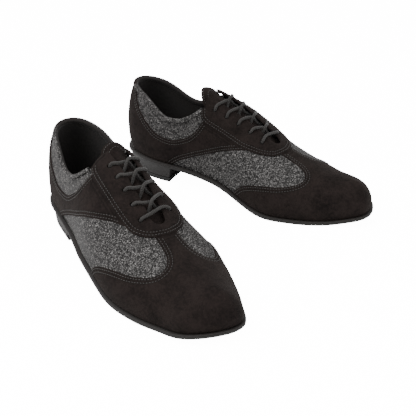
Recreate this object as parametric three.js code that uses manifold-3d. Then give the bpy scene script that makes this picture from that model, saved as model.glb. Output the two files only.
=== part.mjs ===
// A pair of low-heeled lace-up dance shoes, in millimetres, +Z up.
// One shoe is built heel to toe along +X with its outer (lateral) side at +Y.
// The right shoe is its mirror image.
// The upper is one moulded surface, cut into pattern pieces along seam lines. A place on it is (u, h):
//   u runs round the shoe: 0 at the back of the heel, 1 at the toe tip, positive on the lateral side.
//   h runs up the shoe: 0 at the feather line, where upper meets sole, 1 at the ridge over the instep.
import * as THREE from 'three';
import { mergeVertices } from 'three/addons/utils/BufferGeometryUtils.js';
import Module from 'manifold-3d';

const wasm = await Module();
wasm.setup();
const { PI, abs, acos, cos, max, min, sin, sqrt } = Math;
const LATERAL = 1;
const MEDIAL = -1;

// ---------- driving sizes ----------
const shoeLength = 268;
const ballWidth = 98;
const upperHeight = 88;        // ridge over the ankle above the feather line
const heelPitch = 20.5;        // how far the heel seat stands above the ball
const toeSpring = 7.5;         // and the toe tip above the ball
const soleThickness = 3.7;
const upperThickness = 1.6;
const stiffenerThickness = 0.8;
const liningThickness = 0.8;
const boardThickness = 2;
const sockThickness = 2.8;
const shankThickness = 1.2;
const shankWidth = 12;
const heelLength = 64;
const topPieceThickness = 5;
const laceDiameter = 2.6;
const eyeletRows = 5;
const eyeletReach = 14.5;      // eyelet to centre line
const eyeletSkew = 3;          // medial eyelets sit this much further back
const bindingDiameter = 4.4;
const tongueThickness = 2.6;
const screwDiameter = 4;
const screwLength = 18;
const screwHeadHeight = 1;
const screwSink = 0.6;         // top of the head under the insole board's face
const agletLength = 20;
const restGap = 0.3;           // between pieces that touch
const seamGap = 0.5;           // between neighbouring pattern pieces
const heelSpread = 105;        // heel to heel across the pair
const heelStagger = -33;       // left heel behind the right one
const splay = 28.5;            // degrees between the two shoes

// ---------- the last: stations are shares of the length ----------
const toeShift = -5.4;         // the toe leans to the medial side
const heelShift = 5.5;         // and the heel to the lateral side
const heelRadius = 15 / 49 * ballWidth;
const toeRadius = 29 / 98 * ballWidth;
const spineLean = 0.6;         // the ridge's share of the sideways lean
const widthStations = [0.056, 0.168, 0.3, 0.43, 0.56, 0.67, 0.765, 0.86, 0.94];
const lateralShares = [0.305, 0.377, 0.43, 0.5, 0.53, 0.53, 0.475, 0.378, 0.286];
const medialShares = [0.185, 0.28, 0.28, 0.306, 0.414, 0.495, 0.454, 0.372, 0.27];
const spineStart = 0.168 * shoeLength;
const spineEnd = 0.933 * shoeLength;
const pitchShare = curve([0, 0.187, 0.336, 0.485, 0.616, 0.746, 0.877, 1],
  [1, 0.9, 0.8, 0.54, 0.12, 0, 0, 0]);
const springShare = curve([0, 0.746, 0.877, 1], [0, 0, 0.2, 1]);
const ridgeShare = curve([0.168, 0.3, 0.392, 0.485, 0.578, 0.672, 0.765, 0.933],
  [1, 0.92, 0.88, 0.81, 0.705, 0.55, 0.455, 0.35]);
const toplineShare = curve([0, 0.112, 0.231, 0.3, 0.343, 0.396, 0.425],
  [0.795, 0.7, 0.53, 0.585, 0.69, 0.88, 1.02]);
const roundness = curve([0.168, 0.392, 0.56, 0.84], [0.56, 0.68, 0.9, 1.15]);
const wallBulge = curve([0.168, 0.392, 0.56, 0.84], [0.09, 0.01, 0.06, 0.02]);

// ---------- seam lines on the upper, as (u, h) points from the sole or the topline inwards ----------
const wingSeam = [[0.508, -0.03], [0.532, 0.13], [0.557, 0.24], [0.597, 0.36], [0.645, 0.45], [0.68, 0.55],
  [0.692, 0.66], [0.683, 0.77], [0.657, 0.84], [0.625, 0.872], [0.596, 0.882]];
const quarterSeam = {
  [LATERAL]: [[0.285, -0.03], [0.318, 0.04], [0.37, 0.14], [0.417, 0.245], [0.455, 0.36], [0.49, 0.48],
    [0.522, 0.61], [0.551, 0.715]],
  [MEDIAL]: [[0.318, -0.03], [0.35, 0.054], [0.39, 0.135], [0.439, 0.25], [0.49, 0.42], [0.534, 0.607]],
};
const collarSeam = {
  [LATERAL]: [[0.085, 0.98], [0.115, 0.66], [0.165, 0.44], [0.225, 0.3], [0.28, 0.225], [0.335, 0.25],
    [0.378, 0.36], [0.398, 0.5], [0.403, 0.695]],
  [MEDIAL]: [[0.085, 0.98], [0.125, 0.6], [0.175, 0.42], [0.233, 0.3], [0.281, 0.235], [0.325, 0.225],
    [0.362, 0.28], [0.386, 0.37], [0.402, 0.555]],
};
const facingSeam = {
  [LATERAL]: [[0.365, 0.86], [0.382, 0.73], [0.395, 0.685], [0.412, 0.67], [0.47, 0.68], [0.53, 0.695],
    [0.56, 0.715], [0.583, 0.775], [0.598, 0.86], [0.603, 0.95], [0.604, 1]],
  [MEDIAL]: [[0.368, 0.8], [0.384, 0.63], [0.397, 0.55], [0.415, 0.522], [0.46, 0.52], [0.506, 0.548],
    [0.535, 0.6], [0.567, 0.69], [0.59, 0.79], [0.602, 0.92], [0.604, 1]],
};
const heelSeam = [[-0.15, -0.03], [-0.1, 0.1], [-0.06, 0.23], [-0.025, 0.32], [0, 0.345], [0.025, 0.32],
  [0.06, 0.23], [0.1, 0.1], [0.15, -0.03]];
const backSeam = [[0, 0.33], [0, 0.6], [0, 1]];
const liningSeam = [[0.5, -0.03], [0.5, 0.3], [0.5, 0.74]];

// ---------- sizes that follow ----------
const featherAtBall = soleThickness + restGap;
const stiffenerDepth = upperThickness + restGap;
const liningDepth = stiffenerDepth + stiffenerThickness + 2 * restGap;
const wallDepth = liningDepth + liningThickness;
const bindingLift = 12 / 41 * wallDepth;   // of the binding's underside over the topline
const bindingEnd = 0.385;      // u where the binding runs under the facings
const bindingStep = 10.3;
const boardInset = wallDepth + 2.4;
const boardLift = shankThickness + restGap;
const sockLift = boardLift + boardThickness + restGap;
const floorLift = sockLift + sockThickness;
const laceRadius = laceDiameter / 2;
const laceOver = laceRadius + restGap;
const laceUnder = -(upperThickness + 4 * restGap + laceRadius);
const laceMiddle = (laceOver + laceUnder) / 2;
const laceTurn = (laceOver - laceUnder) / 2;
const eyeletRadius = laceRadius + 1.2;
const tongueDepth = upperThickness + laceDiameter + 5.5 * restGap;
const facingFront = 0.672 * shoeLength;
const throat = 0.392 * shoeLength;
const mouthStart = -20;        // ends and steps of the cut above the topline
const mouthEnd = 0.43 * shoeLength;
const mouthStep = 5;
const beyond = 300;            // past everything
const tongueFront = facingFront - 4;
const tongueBack = throat - 9;
const tongueEdges = { [LATERAL]: 0.77, [MEDIAL]: 0.69 };
const tongueRound = 0.8;       // share of the tongue's length where its end starts to round off
const tongueNarrowest = 0.12;  // square of the width left at its very end
const tongueCrown = 1.4;       // how the tongue's edges fall away from its ridge
const heelRake = 3;            // how far the heel's front leans back
const heelInsets = { top: 0.5, bottom: 3, wear: 3.6 };
const soleEdge = 1;            // how far the sole stands out past the upper
const innerGap = 0.6;          // round the sock and the filler, inside the insole board's edge
const fillerStart = 0.54;
const shankStart = 0.19 * shoeLength;
const shankLength = 0.34 * shoeLength;
const firstRow = facingFront - 18;
const lastRow = throat + 6;
const rowPitch = (firstRow - lastRow) / (eyeletRows - 1);
const gapFront = facingFront - 9;
const gapBack = 0.3 * shoeLength;
const gapHalfWidth = [6, 9];   // at its front end and at the throat
const strandLean = 0.26 * rowPitch;   // how far a strand has leant at the gap's edge
const strandOver = 2.6;        // lift of the strand that crosses on top
const strandUnder = -0.4 - restGap;
const turnSpread = 0.8;        // how far the lace spreads to each side of an eyelet
const tailStation = 0.405;     // u of the lace's way down inside the shoe
const tailStep = 0.038;
const tailCount = 7;
const columns = 32;
const rows = [0, 0.16, 0.33, 0.5, 0.67, 0.82, 0.93, 1];
const liningRows = [0, 0.33, 0.67, 0.93, 1];

// ---------- curves and the moulded surface ----------
// A smooth curve through values at stations along the shoe, level past both ends.
function curve(stations, values) {
  return hermite(stations.map((share) => share * shoeLength), values);
}

function hermite(xs, ys) {
  const rise = xs.slice(1).map((x, i) => (ys[i + 1] - ys[i]) / (x - xs[i]));
  const slope = xs.map((x, i) => {
    if (i === 0) return rise[0];
    if (i === xs.length - 1) return rise[i - 1];
    const before = x - xs[i - 1];
    const after = xs[i + 1] - x;
    return (rise[i - 1] * after + rise[i] * before) / (before + after);
  });
  return (at) => {
    const x = min(max(at, xs[0]), xs[xs.length - 1]);
    let i = 0;
    while (i < xs.length - 2 && x >= xs[i + 1]) i += 1;
    const step = xs[i + 1] - xs[i];
    const t = (x - xs[i]) / step;
    return (1 + 2 * t) * (1 - t) ** 2 * ys[i] + t * (1 - t) ** 2 * step * slope[i]
      + t * t * (3 - 2 * t) * ys[i + 1] + t * t * (t - 1) * step * slope[i + 1];
  };
}

function feather(x) {
  return featherAtBall + heelPitch * pitchShare(x) + toeSpring * springShare(x);
}

function topHeight(x) {
  return feather(x) + upperHeight * toplineShare(x);
}

function centreShift(x) {
  const towardsToe = THREE.MathUtils.smoothstep(x, 0.52 * shoeLength, shoeLength);
  const towardsHeel = 1 - THREE.MathUtils.smoothstep(x, 0, 0.4 * shoeLength);
  return toeShift * towardsToe + heelShift * towardsHeel;
}

// Half-width divided by the sine of the angle round the shoe, so that both ends come out round.
function fullness(shares, side) {
  const angles = widthStations.map((share) => acos(1 - 2 * share));
  const values = shares.map((share, i) => {
    const shift = centreShift(widthStations[i] * shoeLength);
    return (share * ballWidth - side * shift) / sin(angles[i]);
  });
  const heel = sqrt(heelRadius * shoeLength / 2);
  const toe = sqrt(toeRadius * shoeLength / 2);
  return hermite([0, ...angles, PI], [heel, ...values, toe]);
}
const lateralFullness = fullness(lateralShares, LATERAL);
const medialFullness = fullness(medialShares, MEDIAL);

// The feather line seen from above, moved inwards by inset.
function outline(u, inset = 0) {
  const at = (v) => {
    const angle = PI * abs(v);
    const x = shoeLength * (1 - cos(angle)) / 2;
    const half = v >= 0 ? lateralFullness(angle) : -medialFullness(angle);
    return new THREE.Vector2(x, half * sin(angle) + centreShift(x));
  };
  const point = at(u);
  if (inset === 0) return point;
  const along = at(u + 0.002).sub(at(u - 0.002)).normalize();
  return point.add(new THREE.Vector2(along.y, -along.x).multiplyScalar(inset));
}

function surfacePoint(u, h) {
  const v = u - 2 * Math.round(u / 2);
  const base = outline(v);
  const spineX = spineStart + (spineEnd - spineStart) * base.x / shoeLength;
  const spineY = spineLean * centreShift(spineX);
  const phi = h * PI / 2;
  const inwards = 1 - max(0, cos(phi)) ** roundness(spineX) - wallBulge(spineX) * sin(2 * phi);
  const low = feather(base.x);
  const high = feather(spineX) + upperHeight * ridgeShare(spineX);
  return new THREE.Vector3(
    base.x + (spineX - base.x) * inwards,
    base.y + (spineY - base.y) * inwards,
    low + (high - low) * sin(phi),
  );
}

function sideNormal(u, h) {
  const step = 0.004;
  const low = min(h, 0.985);
  const round = surfacePoint(u + step, low).sub(surfacePoint(u - step, low));
  const up = surfacePoint(u, low + step).sub(surfacePoint(u, low - step));
  return up.cross(round).normalize();
}

// Outward normal; the two sides share one normal along the ridge.
function normalAt(u, h) {
  if (h < 0.999) return sideNormal(u, h);
  return sideNormal(u, 1).add(sideNormal(-u, 1)).normalize();
}

function onUpper(u, h, lift = 0) {
  return surfacePoint(u, h).addScaledVector(normalAt(u, h), lift);
}

// The place over plan position x, at reach from the centre line, on one side.
function placeOver(x, reach, side) {
  let low = 0.3;
  let high = 1;
  let place = [0.5, 1];
  for (let i = 0; i < 18; i += 1) {
    const h = (low + high) / 2;
    let from = 0.2;
    let to = 0.9;
    for (let j = 0; j < 18; j += 1) {
      const u = (from + to) / 2;
      if (surfacePoint(side * u, h).x < x) from = u;
      else to = u;
    }
    place = [side * from, h];
    const point = surfacePoint(...place);
    if (abs(point.y - spineLean * centreShift(x)) > reach) low = h;
    else high = h;
  }
  return place;
}

// ---------- solids ----------
// A closed mesh made of a unit box, each of whose points is moved by place(a, b, c), all from 0 to 1.
function mapped(segments, place) {
  const box = new THREE.BoxGeometry(1, 1, 1, ...segments);
  const position = box.attributes.position;
  for (let i = 0; i < position.count; i += 1) {
    const point = place(position.getX(i) + 0.5, position.getY(i) + 0.5, position.getZ(i) + 0.5);
    position.setXYZ(i, point.x, point.y, point.z);
  }
  return toSolid(box);
}

function toSolid(geometry) {
  const bare = geometry.clone();
  bare.deleteAttribute('normal');
  bare.deleteAttribute('uv');
  const merged = mergeVertices(bare, 1e-3);
  const index = merged.index.array;
  const faces = [];
  for (let i = 0; i < index.length; i += 3) {
    const [a, b, c] = index.subarray(i, i + 3);
    if (a !== b && b !== c && c !== a) faces.push([a, b, c]);
  }
  const solid = solidFrom(merged.attributes.position.array, faces);
  if (solid.volume() > 0) return solid;
  return solidFrom(merged.attributes.position.array, faces.map(([a, b, c]) => [a, c, b]));
}

function solidFrom(points, faces) {
  const mesh = new wasm.Mesh({
    numProp: 3,
    vertProperties: new Float32Array(points),
    triVerts: new Uint32Array(faces.flat()),
  });
  return new wasm.Manifold(mesh);
}

function toGeometry(solid) {
  const { vertProperties, triVerts, numProp } = solid.getMesh();
  const points = [];
  for (let i = 0; i < vertProperties.length; i += numProp) points.push(...vertProperties.subarray(i, i + 3));
  const geometry = new THREE.BufferGeometry();
  geometry.setAttribute('position', new THREE.Float32BufferAttribute(points, 3));
  geometry.setIndex([...triVerts]);
  geometry.computeVertexNormals();
  return geometry;
}

function extruded(shape, low, high) {
  const geometry = new THREE.ExtrudeGeometry(shape, { depth: high - low, bevelEnabled: false });
  return toSolid(geometry.translate(0, 0, low));
}

// The whole upper as one skin between two depths, open only along the feather line.
function skin(outer, inner, rowHeights) {
  const layers = [-outer, -inner].map((lift) => {
    const points = [];
    for (let i = 0; i < columns; i += 1) {
      for (const h of rowHeights) points.push(onUpper(2 * i / columns, h, lift));
    }
    return points;
  });
  const position = layers.flat().flatMap((point) => [point.x, point.y, point.z]);
  const at = (layer, i, j) => (layer * columns + i % columns) * rowHeights.length + j;
  const index = [];
  const quad = (a, b, c, d) => index.push(a, b, c, a, c, d);
  for (let i = 0; i < columns; i += 1) {
    for (let j = 0; j < rowHeights.length - 1; j += 1) {
      quad(at(0, i, j), at(0, i, j + 1), at(0, i + 1, j + 1), at(0, i + 1, j));
      quad(at(1, i, j), at(1, i + 1, j), at(1, i + 1, j + 1), at(1, i, j + 1));
    }
    quad(at(0, i, 0), at(0, i + 1, 0), at(1, i + 1, 0), at(1, i, 0));
  }
  const geometry = new THREE.BufferGeometry();
  geometry.setAttribute('position', new THREE.Float32BufferAttribute(position, 3));
  geometry.setIndex(index);
  return toSolid(geometry);
}

// A piece of skin between two columns and from the feather line up to a row.
function skinPatch(firstColumn, lastColumn, topRow, outer, inner) {
  return mapped([lastColumn - firstColumn, topRow, 1], (a, b, c) => {
    const column = firstColumn + Math.round(a * (lastColumn - firstColumn));
    return onUpper(2 * column / columns, rows[Math.round(b * topRow)], -outer + (outer - inner) * (1 - c));
  });
}

// Sampled places along a seam line, with the sign of u giving the side.
function seamRoute(points, side, count) {
  const line = new THREE.CatmullRomCurve3(points.map(([u, h]) => new THREE.Vector3(side * u, h, 0)));
  return line.getPoints(count).map((point) => [point.x, min(point.y, 1)]);
}

// A thin wall standing along a seam line, which cuts the skin it crosses.
function seamCutter(route, width, depth) {
  const points = route.map(([u, h]) => surfacePoint(u, h));
  const frames = route.map(([u, h], i) => {
    const along = points[min(i + 1, points.length - 1)].clone().sub(points[max(i - 1, 0)]).normalize();
    const out = normalAt(u, h);
    return { out, across: along.clone().cross(out).normalize() };
  });
  return mapped([route.length - 1, 1, 1], (a, b, c) => {
    const i = Math.round(a * (route.length - 1));
    return points[i].clone()
      .addScaledVector(frames[i].across, (b - 0.5) * width)
      .addScaledVector(frames[i].out, 2 - c * (2 + depth));
  });
}

function facingRoute(count) {
  const lateral = seamRoute(facingSeam[LATERAL], LATERAL, count);
  const medial = seamRoute(facingSeam[MEDIAL], MEDIAL, count);
  return [...lateral.slice(0, -1), ...medial.reverse()];
}

// Everything above the topline, as its side profile extended across the shoe.
function mouthCutter() {
  const profile = new THREE.Shape();
  profile.moveTo(mouthStart, beyond);
  for (let x = mouthStart; x <= mouthEnd; x += mouthStep) profile.lineTo(x, topHeight(max(x, 0)));
  profile.lineTo(mouthEnd, beyond);
  return extruded(profile, -beyond, beyond).rotate([90, 0, 0]);
}

// The slot between the two facings: round in front, opening towards the throat.
function gapCutter() {
  const [front, back] = gapHalfWidth;
  const slot = new THREE.Shape();
  slot.moveTo(gapBack, -back);
  slot.lineTo(gapFront - front, -front);
  slot.absarc(gapFront - front, 0, front, -PI / 2, PI / 2);
  slot.lineTo(gapBack, back);
  return extruded(slot, feather(gapFront), beyond);
}

// A rod of the given radius standing on the upper at a place.
function pegCutter(place, radius) {
  const peg = new THREE.CylinderGeometry(radius, radius, 12, 8);
  const turn = new THREE.Quaternion().setFromUnitVectors(new THREE.Vector3(0, 1, 0), normalAt(...place));
  peg.applyQuaternion(turn);
  const point = surfacePoint(...place);
  return toSolid(peg.translate(point.x, point.y, point.z));
}

// The one of several separate solids that lies at a place, at a depth.
function pieceAt(solids, u, h, depth) {
  const point = onUpper(u, h, -depth);
  const probe = toSolid(new THREE.BoxGeometry(5, 5, 5).translate(point.x, point.y, point.z));
  const shares = solids.map((solid) => solid.intersect(probe).volume());
  return solids[shares.indexOf(max(...shares))];
}

function eyeletX(row, side) {
  return firstRow - row * rowPitch - (side === MEDIAL ? eyeletSkew : 0);
}

// ---------- the upper ----------
function upperPieces() {
  let cut = skin(0, upperThickness, rows).subtract(mouthCutter()).subtract(gapCutter());
  for (const side of [LATERAL, MEDIAL]) {
    for (let row = 0; row < eyeletRows; row += 1) {
      cut = cut.subtract(pegCutter(placeOver(eyeletX(row, side), eyeletReach, side), eyeletRadius));
    }
    for (const seam of [wingSeam, quarterSeam[side], collarSeam[side]]) {
      cut = cut.subtract(seamCutter(seamRoute(seam, side, 15), seamGap, upperThickness + 2));
    }
  }
  for (const route of [facingRoute(14), seamRoute(heelSeam, LATERAL, 12), seamRoute(backSeam, LATERAL, 5)]) {
    cut = cut.subtract(seamCutter(route, seamGap, upperThickness + 2));
  }
  const solids = cut.decompose();
  const middle = upperThickness / 2;
  return {
    vamp: pieceAt(solids, 0.85, 0.5, middle),
    eyestay: pieceAt(solids, 0.5, 0.75, middle),
    heel_back_panel: pieceAt(solids, 0, 0.15, middle),
    lateral_side_panel: pieceAt(solids, 0.55, 0.4, middle),
    medial_side_panel: pieceAt(solids, -0.55, 0.4, middle),
    lateral_quarter: pieceAt(solids, 0.3, 0.12, middle),
    medial_quarter: pieceAt(solids, -0.3, 0.12, middle),
    lateral_collar_insert: pieceAt(solids, 0.28, 0.32, middle),
    medial_collar_insert: pieceAt(solids, -0.28, 0.32, middle),
  };
}

function linings() {
  let cut = skin(liningDepth, wallDepth, liningRows).subtract(mouthCutter());
  cut = cut.subtract(seamCutter(facingRoute(14), 2 * seamGap, wallDepth + 2));
  for (const side of [LATERAL, MEDIAL]) {
    cut = cut.subtract(seamCutter(seamRoute(liningSeam, side, 6), seamGap, wallDepth + 2));
  }
  const solids = cut.decompose();
  const middle = (liningDepth + wallDepth) / 2;
  return {
    vamp_lining: pieceAt(solids, 0.85, 0.5, middle),
    quarter_lining: pieceAt(solids, 0.2, 0.3, middle),
  };
}

// The rolled edge that lies over the upper and the lining, from facing to facing round the heel.
function toplineBinding() {
  const count = Math.round(shoeLength / bindingStep);
  const depth = (upperThickness + liningDepth) / 2;
  const edge = [];
  for (let i = 0; i <= count; i += 1) {
    const u = bindingEnd - 2 * bindingEnd * i / count;
    let low = 0;
    let high = 1;
    for (let j = 0; j < 20; j += 1) {
      const h = (low + high) / 2;
      const point = surfacePoint(u, h);
      if (point.z < topHeight(point.x)) low = h;
      else high = h;
    }
    edge.push([u, low]);
  }
  const points = edge.map((place) => surfacePoint(...place));
  const route = edge.map((place, i) => {
    const along = points[min(i + 1, count)].clone().sub(points[max(i - 1, 0)]).normalize();
    const out = normalAt(...place);
    const up = along.clone().cross(out).normalize();
    if (up.z < 0) up.negate();
    const lift = bindingDiameter / 2 + bindingLift;
    return points[i].clone().addScaledVector(out, -depth).addScaledVector(up, lift);
  });
  return tube(new THREE.CatmullRomCurve3(route), bindingDiameter, count, 8);
}

// A padded flap under the gap. It starts at the front of the gap and stands out past the throat.
function tongue() {
  return mapped([10, 6, 1], (a, b, c) => {
    const x = tongueFront + (tongueBack - tongueFront) * a;
    const angle = acos(1 - 2 * (x - spineStart) / (spineEnd - spineStart));
    const side = b >= 0.5 ? LATERAL : MEDIAL;
    const past = max(0, a - tongueRound) / (1 - tongueRound);
    const rounding = sqrt(max(tongueNarrowest, 1 - past ** 2));
    const reach = abs(2 * b - 1) ** tongueCrown * rounding;
    const h = 1 - (1 - tongueEdges[side]) * reach;
    return onUpper(side * angle / PI, h, -tongueDepth - c * tongueThickness);
  });
}

// ---------- the bottom ----------
// A flat-lying plate inside the outline, between two heights over the feather line.
function plate(inset, low, high, from = 0, to = 1, count = 24) {
  return mapped([count, 1, 1], (a, b, c) => {
    const u = from + (to - from) * a;
    const point = outline(b > 0.5 ? u : -u, inset);
    return new THREE.Vector3(point.x, point.y, feather(point.x) + (c > 0.5 ? high : low));
  });
}

// The heel tapers down from the sole to the wear piece; its front face leans back a little.
function heelLayer(lowZ, highZ, lowInset, highInset) {
  return mapped([12, 1, 1], (a, b, c) => {
    const length = c > 0.5 ? heelLength : heelLength - heelRake;
    const u = a * acos(1 - 2 * length / shoeLength) / PI;
    const point = outline(b > 0.5 ? u : -u, c > 0.5 ? highInset : lowInset);
    const z = c > 0.5 ? highZ : () => lowZ;
    return new THREE.Vector3(point.x, point.y, z(point.x));
  });
}

function shank() {
  return mapped([12, 1, 1], (a, b, c) => {
    const x = shankStart + shankLength * a;
    return new THREE.Vector3(x, centreShift(x) + (b - 0.5) * shankWidth, feather(x) + c * shankThickness);
  });
}

const screwX = 0.1 * shoeLength;
const screwTop = feather(screwX) + sockLift - restGap - screwSink;
function screw(grow) {
  const radius = screwDiameter / 2 + grow;
  const head = screwDiameter + grow;
  const top = screwTop + grow;
  const tip = screwTop - screwLength - grow;
  const neck = screwTop - screwHeadHeight - grow;
  const profile = [[0, tip], [radius, tip], [radius, neck], [head, neck], [head, top], [0, top]];
  const points = profile.map(([r, z]) => new THREE.Vector2(r, z));
  const turned = new THREE.LatheGeometry(points, 12).rotateX(PI / 2);
  return toSolid(turned.translate(screwX, centreShift(screwX), 0));
}

function bottomPieces() {
  const soleTop = -restGap;
  const seat = (x) => feather(x) - soleThickness - 2 * restGap;
  const hole = screw(restGap);
  return {
    outsole: plate(-soleEdge, soleTop - soleThickness, soleTop, 0, 1, 30).subtract(hole),
    heel_block: heelLayer(topPieceThickness + restGap, seat, heelInsets.bottom, heelInsets.top)
      .subtract(hole),
    heel_top_piece: heelLayer(0, () => topPieceThickness, heelInsets.wear, heelInsets.bottom),
    insole_board: plate(boardInset, boardLift, boardLift + boardThickness).subtract(hole),
    sock: plate(boardInset + innerGap, sockLift, floorLift),
    shank: shank(),
    forepart_filler: plate(boardInset + innerGap, 0, shankThickness, fillerStart, 1, 16),
    heel_screw: screw(0),
  };
}

// ---------- the lace ----------
// A curve whose samples follow its chosen points, so that tight turns get as many steps as they need.
class RouteCurve extends THREE.CatmullRomCurve3 {
  getPointAt(t, target) {
    return this.getPoint(t, target);
  }

  getTangentAt(t, target) {
    return this.getTangent(t, target);
  }
}

function tube(route, diameter, steps, sides) {
  const section = new THREE.Shape();
  for (let i = 0; i < sides; i += 1) {
    const angle = 2 * PI * i / sides;
    section[i ? 'lineTo' : 'moveTo'](diameter / 2 * cos(angle), diameter / 2 * sin(angle));
  }
  return toSolid(new THREE.ExtrudeGeometry(section, { steps, extrudePath: route, bevelEnabled: false }));
}

function overFacing(x, reach, side, lift) {
  return onUpper(...placeOver(x, reach, side), lift);
}

function gapEdge(x) {
  const [front, back] = gapHalfWidth;
  return THREE.MathUtils.mapLinear(x, gapFront - front, gapBack, front, back);
}

// Half of the lace, from the bar's end over the first row to the tail inside the shoe.
function laceHalf(firstSide, topSide) {
  const points = [];
  let side = firstSide;
  const turnDown = (row, leadIn, leadOut) => {
    for (const angle of [90, 45, 0, -45, -90]) {
      const t = angle * PI / 180;
      const x = eyeletX(row, side) + (angle > 0 ? leadIn : leadOut) * abs(sin(t));
      points.push(overFacing(x, eyeletReach - laceTurn * (1 - cos(t)), side, laceMiddle + laceTurn * sin(t)));
    }
  };
  turnDown(0, 0, -turnSpread);
  for (let row = 1; row < eyeletRows; row += 1) {
    const leave = eyeletX(row - 1, side);
    const arrive = eyeletX(row, -side);
    const middle = (leave + arrive) / 2;
    points.push(overFacing(leave - strandLean, gapEdge(leave) - 1.5, side, laceUnder));
    side = -side;
    const onTop = side === topSide;
    points.push(onUpper(...placeOver(middle, 0.01, side), onTop ? strandOver : strandUnder));
    points.push(overFacing(arrive + strandLean, gapEdge(arrive) + 0.5, side, laceOver + 0.1));
    if (row < eyeletRows - 1) turnDown(row, turnSpread, -turnSpread);
  }
  points.push(...laceTail(side));
  return points;
}

// From the last eyelet down the inner wall, then forward along the sock.
function laceTail(side) {
  const x = eyeletX(eyeletRows - 1, side);
  const points = [
    overFacing(x + 0.8, eyeletReach - laceTurn, side, laceOver),
    overFacing(x + 0.4, eyeletReach - 0.7, side, laceOver - 0.7),
    overFacing(x, eyeletReach, side, laceMiddle),
    overFacing(x - 0.4, eyeletReach + 0.7, side, laceUnder + 0.7),
    overFacing(x - 1, eyeletReach + laceTurn, side, laceUnder),
  ];
  const wall = laceRadius + wallDepth + 4 * restGap;
  const edge = facingSeam[side][4][1];
  const drop = [[edge + 0.055, 0.6 - laceUnder], [edge + 0.025, wall], [edge - 0.03, wall + 1],
    [edge - 0.1, wall + 1], [0.38, wall + 1], [0.28, wall + 1], [0.18, wall + 2], [0.11, wall + 4]];
  for (const [h, depth] of drop) points.push(onUpper(side * tailStation, h, -depth));
  for (let i = 0; i < tailCount; i += 1) {
    const place = outline(side * (0.43 + tailStep * i), boardInset + 7 + 1.5 * i);
    points.push(new THREE.Vector3(place.x, place.y, feather(place.x) + floorLift + laceRadius + 3 * restGap));
  }
  return points;
}

function lacePieces(topSide) {
  const fromLateral = laceHalf(LATERAL, topSide);
  const fromMedial = laceHalf(MEDIAL, topSide);
  const bar = [];
  for (const side of [LATERAL, MEDIAL]) {
    const x = eyeletX(0, side);
    bar.push(overFacing(x, gapEdge(x) + 1, side, laceOver + 0.2));
  }
  const route = [...fromLateral.reverse(), ...bar, ...fromMedial];
  const lace = tube(new RouteCurve(route, false, 'centripetal'), laceDiameter, route.length - 1, 6);
  return { lace, aglet_1: aglet(route[0], route[1]), aglet_2: aglet(route.at(-1), route.at(-2)) };
}

function aglet(end, before) {
  const out = end.clone().sub(before).normalize();
  const rod = new THREE.CylinderGeometry(laceRadius, laceRadius, agletLength, 8);
  rod.applyQuaternion(new THREE.Quaternion().setFromUnitVectors(new THREE.Vector3(0, 1, 0), out));
  const centre = end.clone().addScaledVector(out, agletLength / 2 + restGap);
  return toSolid(rod.translate(centre.x, centre.y, centre.z));
}

// ---------- one shoe ----------
const suede = { color: 0x27211f, roughness: 0.95, metalness: 0 };
const glitter = { color: 0x5a5857, roughness: 0.55, metalness: 0.3 };
const finishes = {
  vamp: suede, eyestay: suede, lateral_quarter: suede, medial_quarter: suede, topline_binding: suede,
  tongue: suede,
  heel_back_panel: glitter, lateral_side_panel: glitter, medial_side_panel: glitter,
  lateral_collar_insert: glitter, medial_collar_insert: glitter,
  vamp_lining: { color: 0x1c1a1a, roughness: 0.9, metalness: 0 },
  quarter_lining: { color: 0x1c1a1a, roughness: 0.9, metalness: 0 },
  sock: { color: 0x1d1b1b, roughness: 0.8, metalness: 0 },
  toe_puff: { color: 0x8c8579, roughness: 0.7, metalness: 0 },
  heel_counter: { color: 0x8c8579, roughness: 0.7, metalness: 0 },
  outsole: { color: 0x2a2624, roughness: 0.85, metalness: 0 },
  heel_block: { color: 0x262221, roughness: 0.6, metalness: 0 },
  heel_top_piece: { color: 0x181716, roughness: 0.75, metalness: 0 },
  insole_board: { color: 0x9a7f5c, roughness: 0.9, metalness: 0 },
  forepart_filler: { color: 0x8a6a45, roughness: 0.95, metalness: 0 },
  shank: { color: 0xa8aaad, roughness: 0.35, metalness: 1 },
  heel_screw: { color: 0xb0b2b5, roughness: 0.35, metalness: 1 },
  lace: { color: 0x484543, roughness: 0.85, metalness: 0 },
  aglet_1: { color: 0x1a1a1a, roughness: 0.3, metalness: 0 },
  aglet_2: { color: 0x1a1a1a, roughness: 0.3, metalness: 0 },
};

function shoeSolids(topSide) {
  const stiffenerEnd = stiffenerDepth + stiffenerThickness;
  return {
    ...upperPieces(),
    ...linings(),
    ...bottomPieces(),
    ...lacePieces(topSide),
    topline_binding: toplineBinding(),
    tongue: tongue(),
    toe_puff: skinPatch(columns / 2 - 3, columns / 2 + 3, 5, stiffenerDepth, stiffenerEnd),
    heel_counter: skinPatch(-4, 4, 2, stiffenerDepth, stiffenerEnd),
  };
}

function shoe(name, topSide) {
  const group = new THREE.Group();
  for (const [part, solid] of Object.entries(shoeSolids(topSide))) {
    const mesh = new THREE.Mesh(toGeometry(solid), new THREE.MeshStandardMaterial(finishes[part]));
    mesh.name = `${name}_${part}`;
    group.add(mesh);
  }
  return group;
}

// ---------- the pair ----------
const pair = new THREE.Group();
const right = shoe('right', MEDIAL);
const left = shoe('left', LATERAL);
right.scale.y = -1;
right.rotation.z = -THREE.MathUtils.degToRad(splay / 2);
left.rotation.z = THREE.MathUtils.degToRad(splay / 2);
left.position.set(heelStagger, heelSpread, 0);
pair.add(right, left);

// The origin is under the middle of the pair's box.
pair.updateMatrixWorld(true);
const box = new THREE.Box3().setFromObject(pair, true);
const centre = box.getCenter(new THREE.Vector3());
pair.position.set(-centre.x, -centre.y, -box.min.z);

export default pair;
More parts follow.
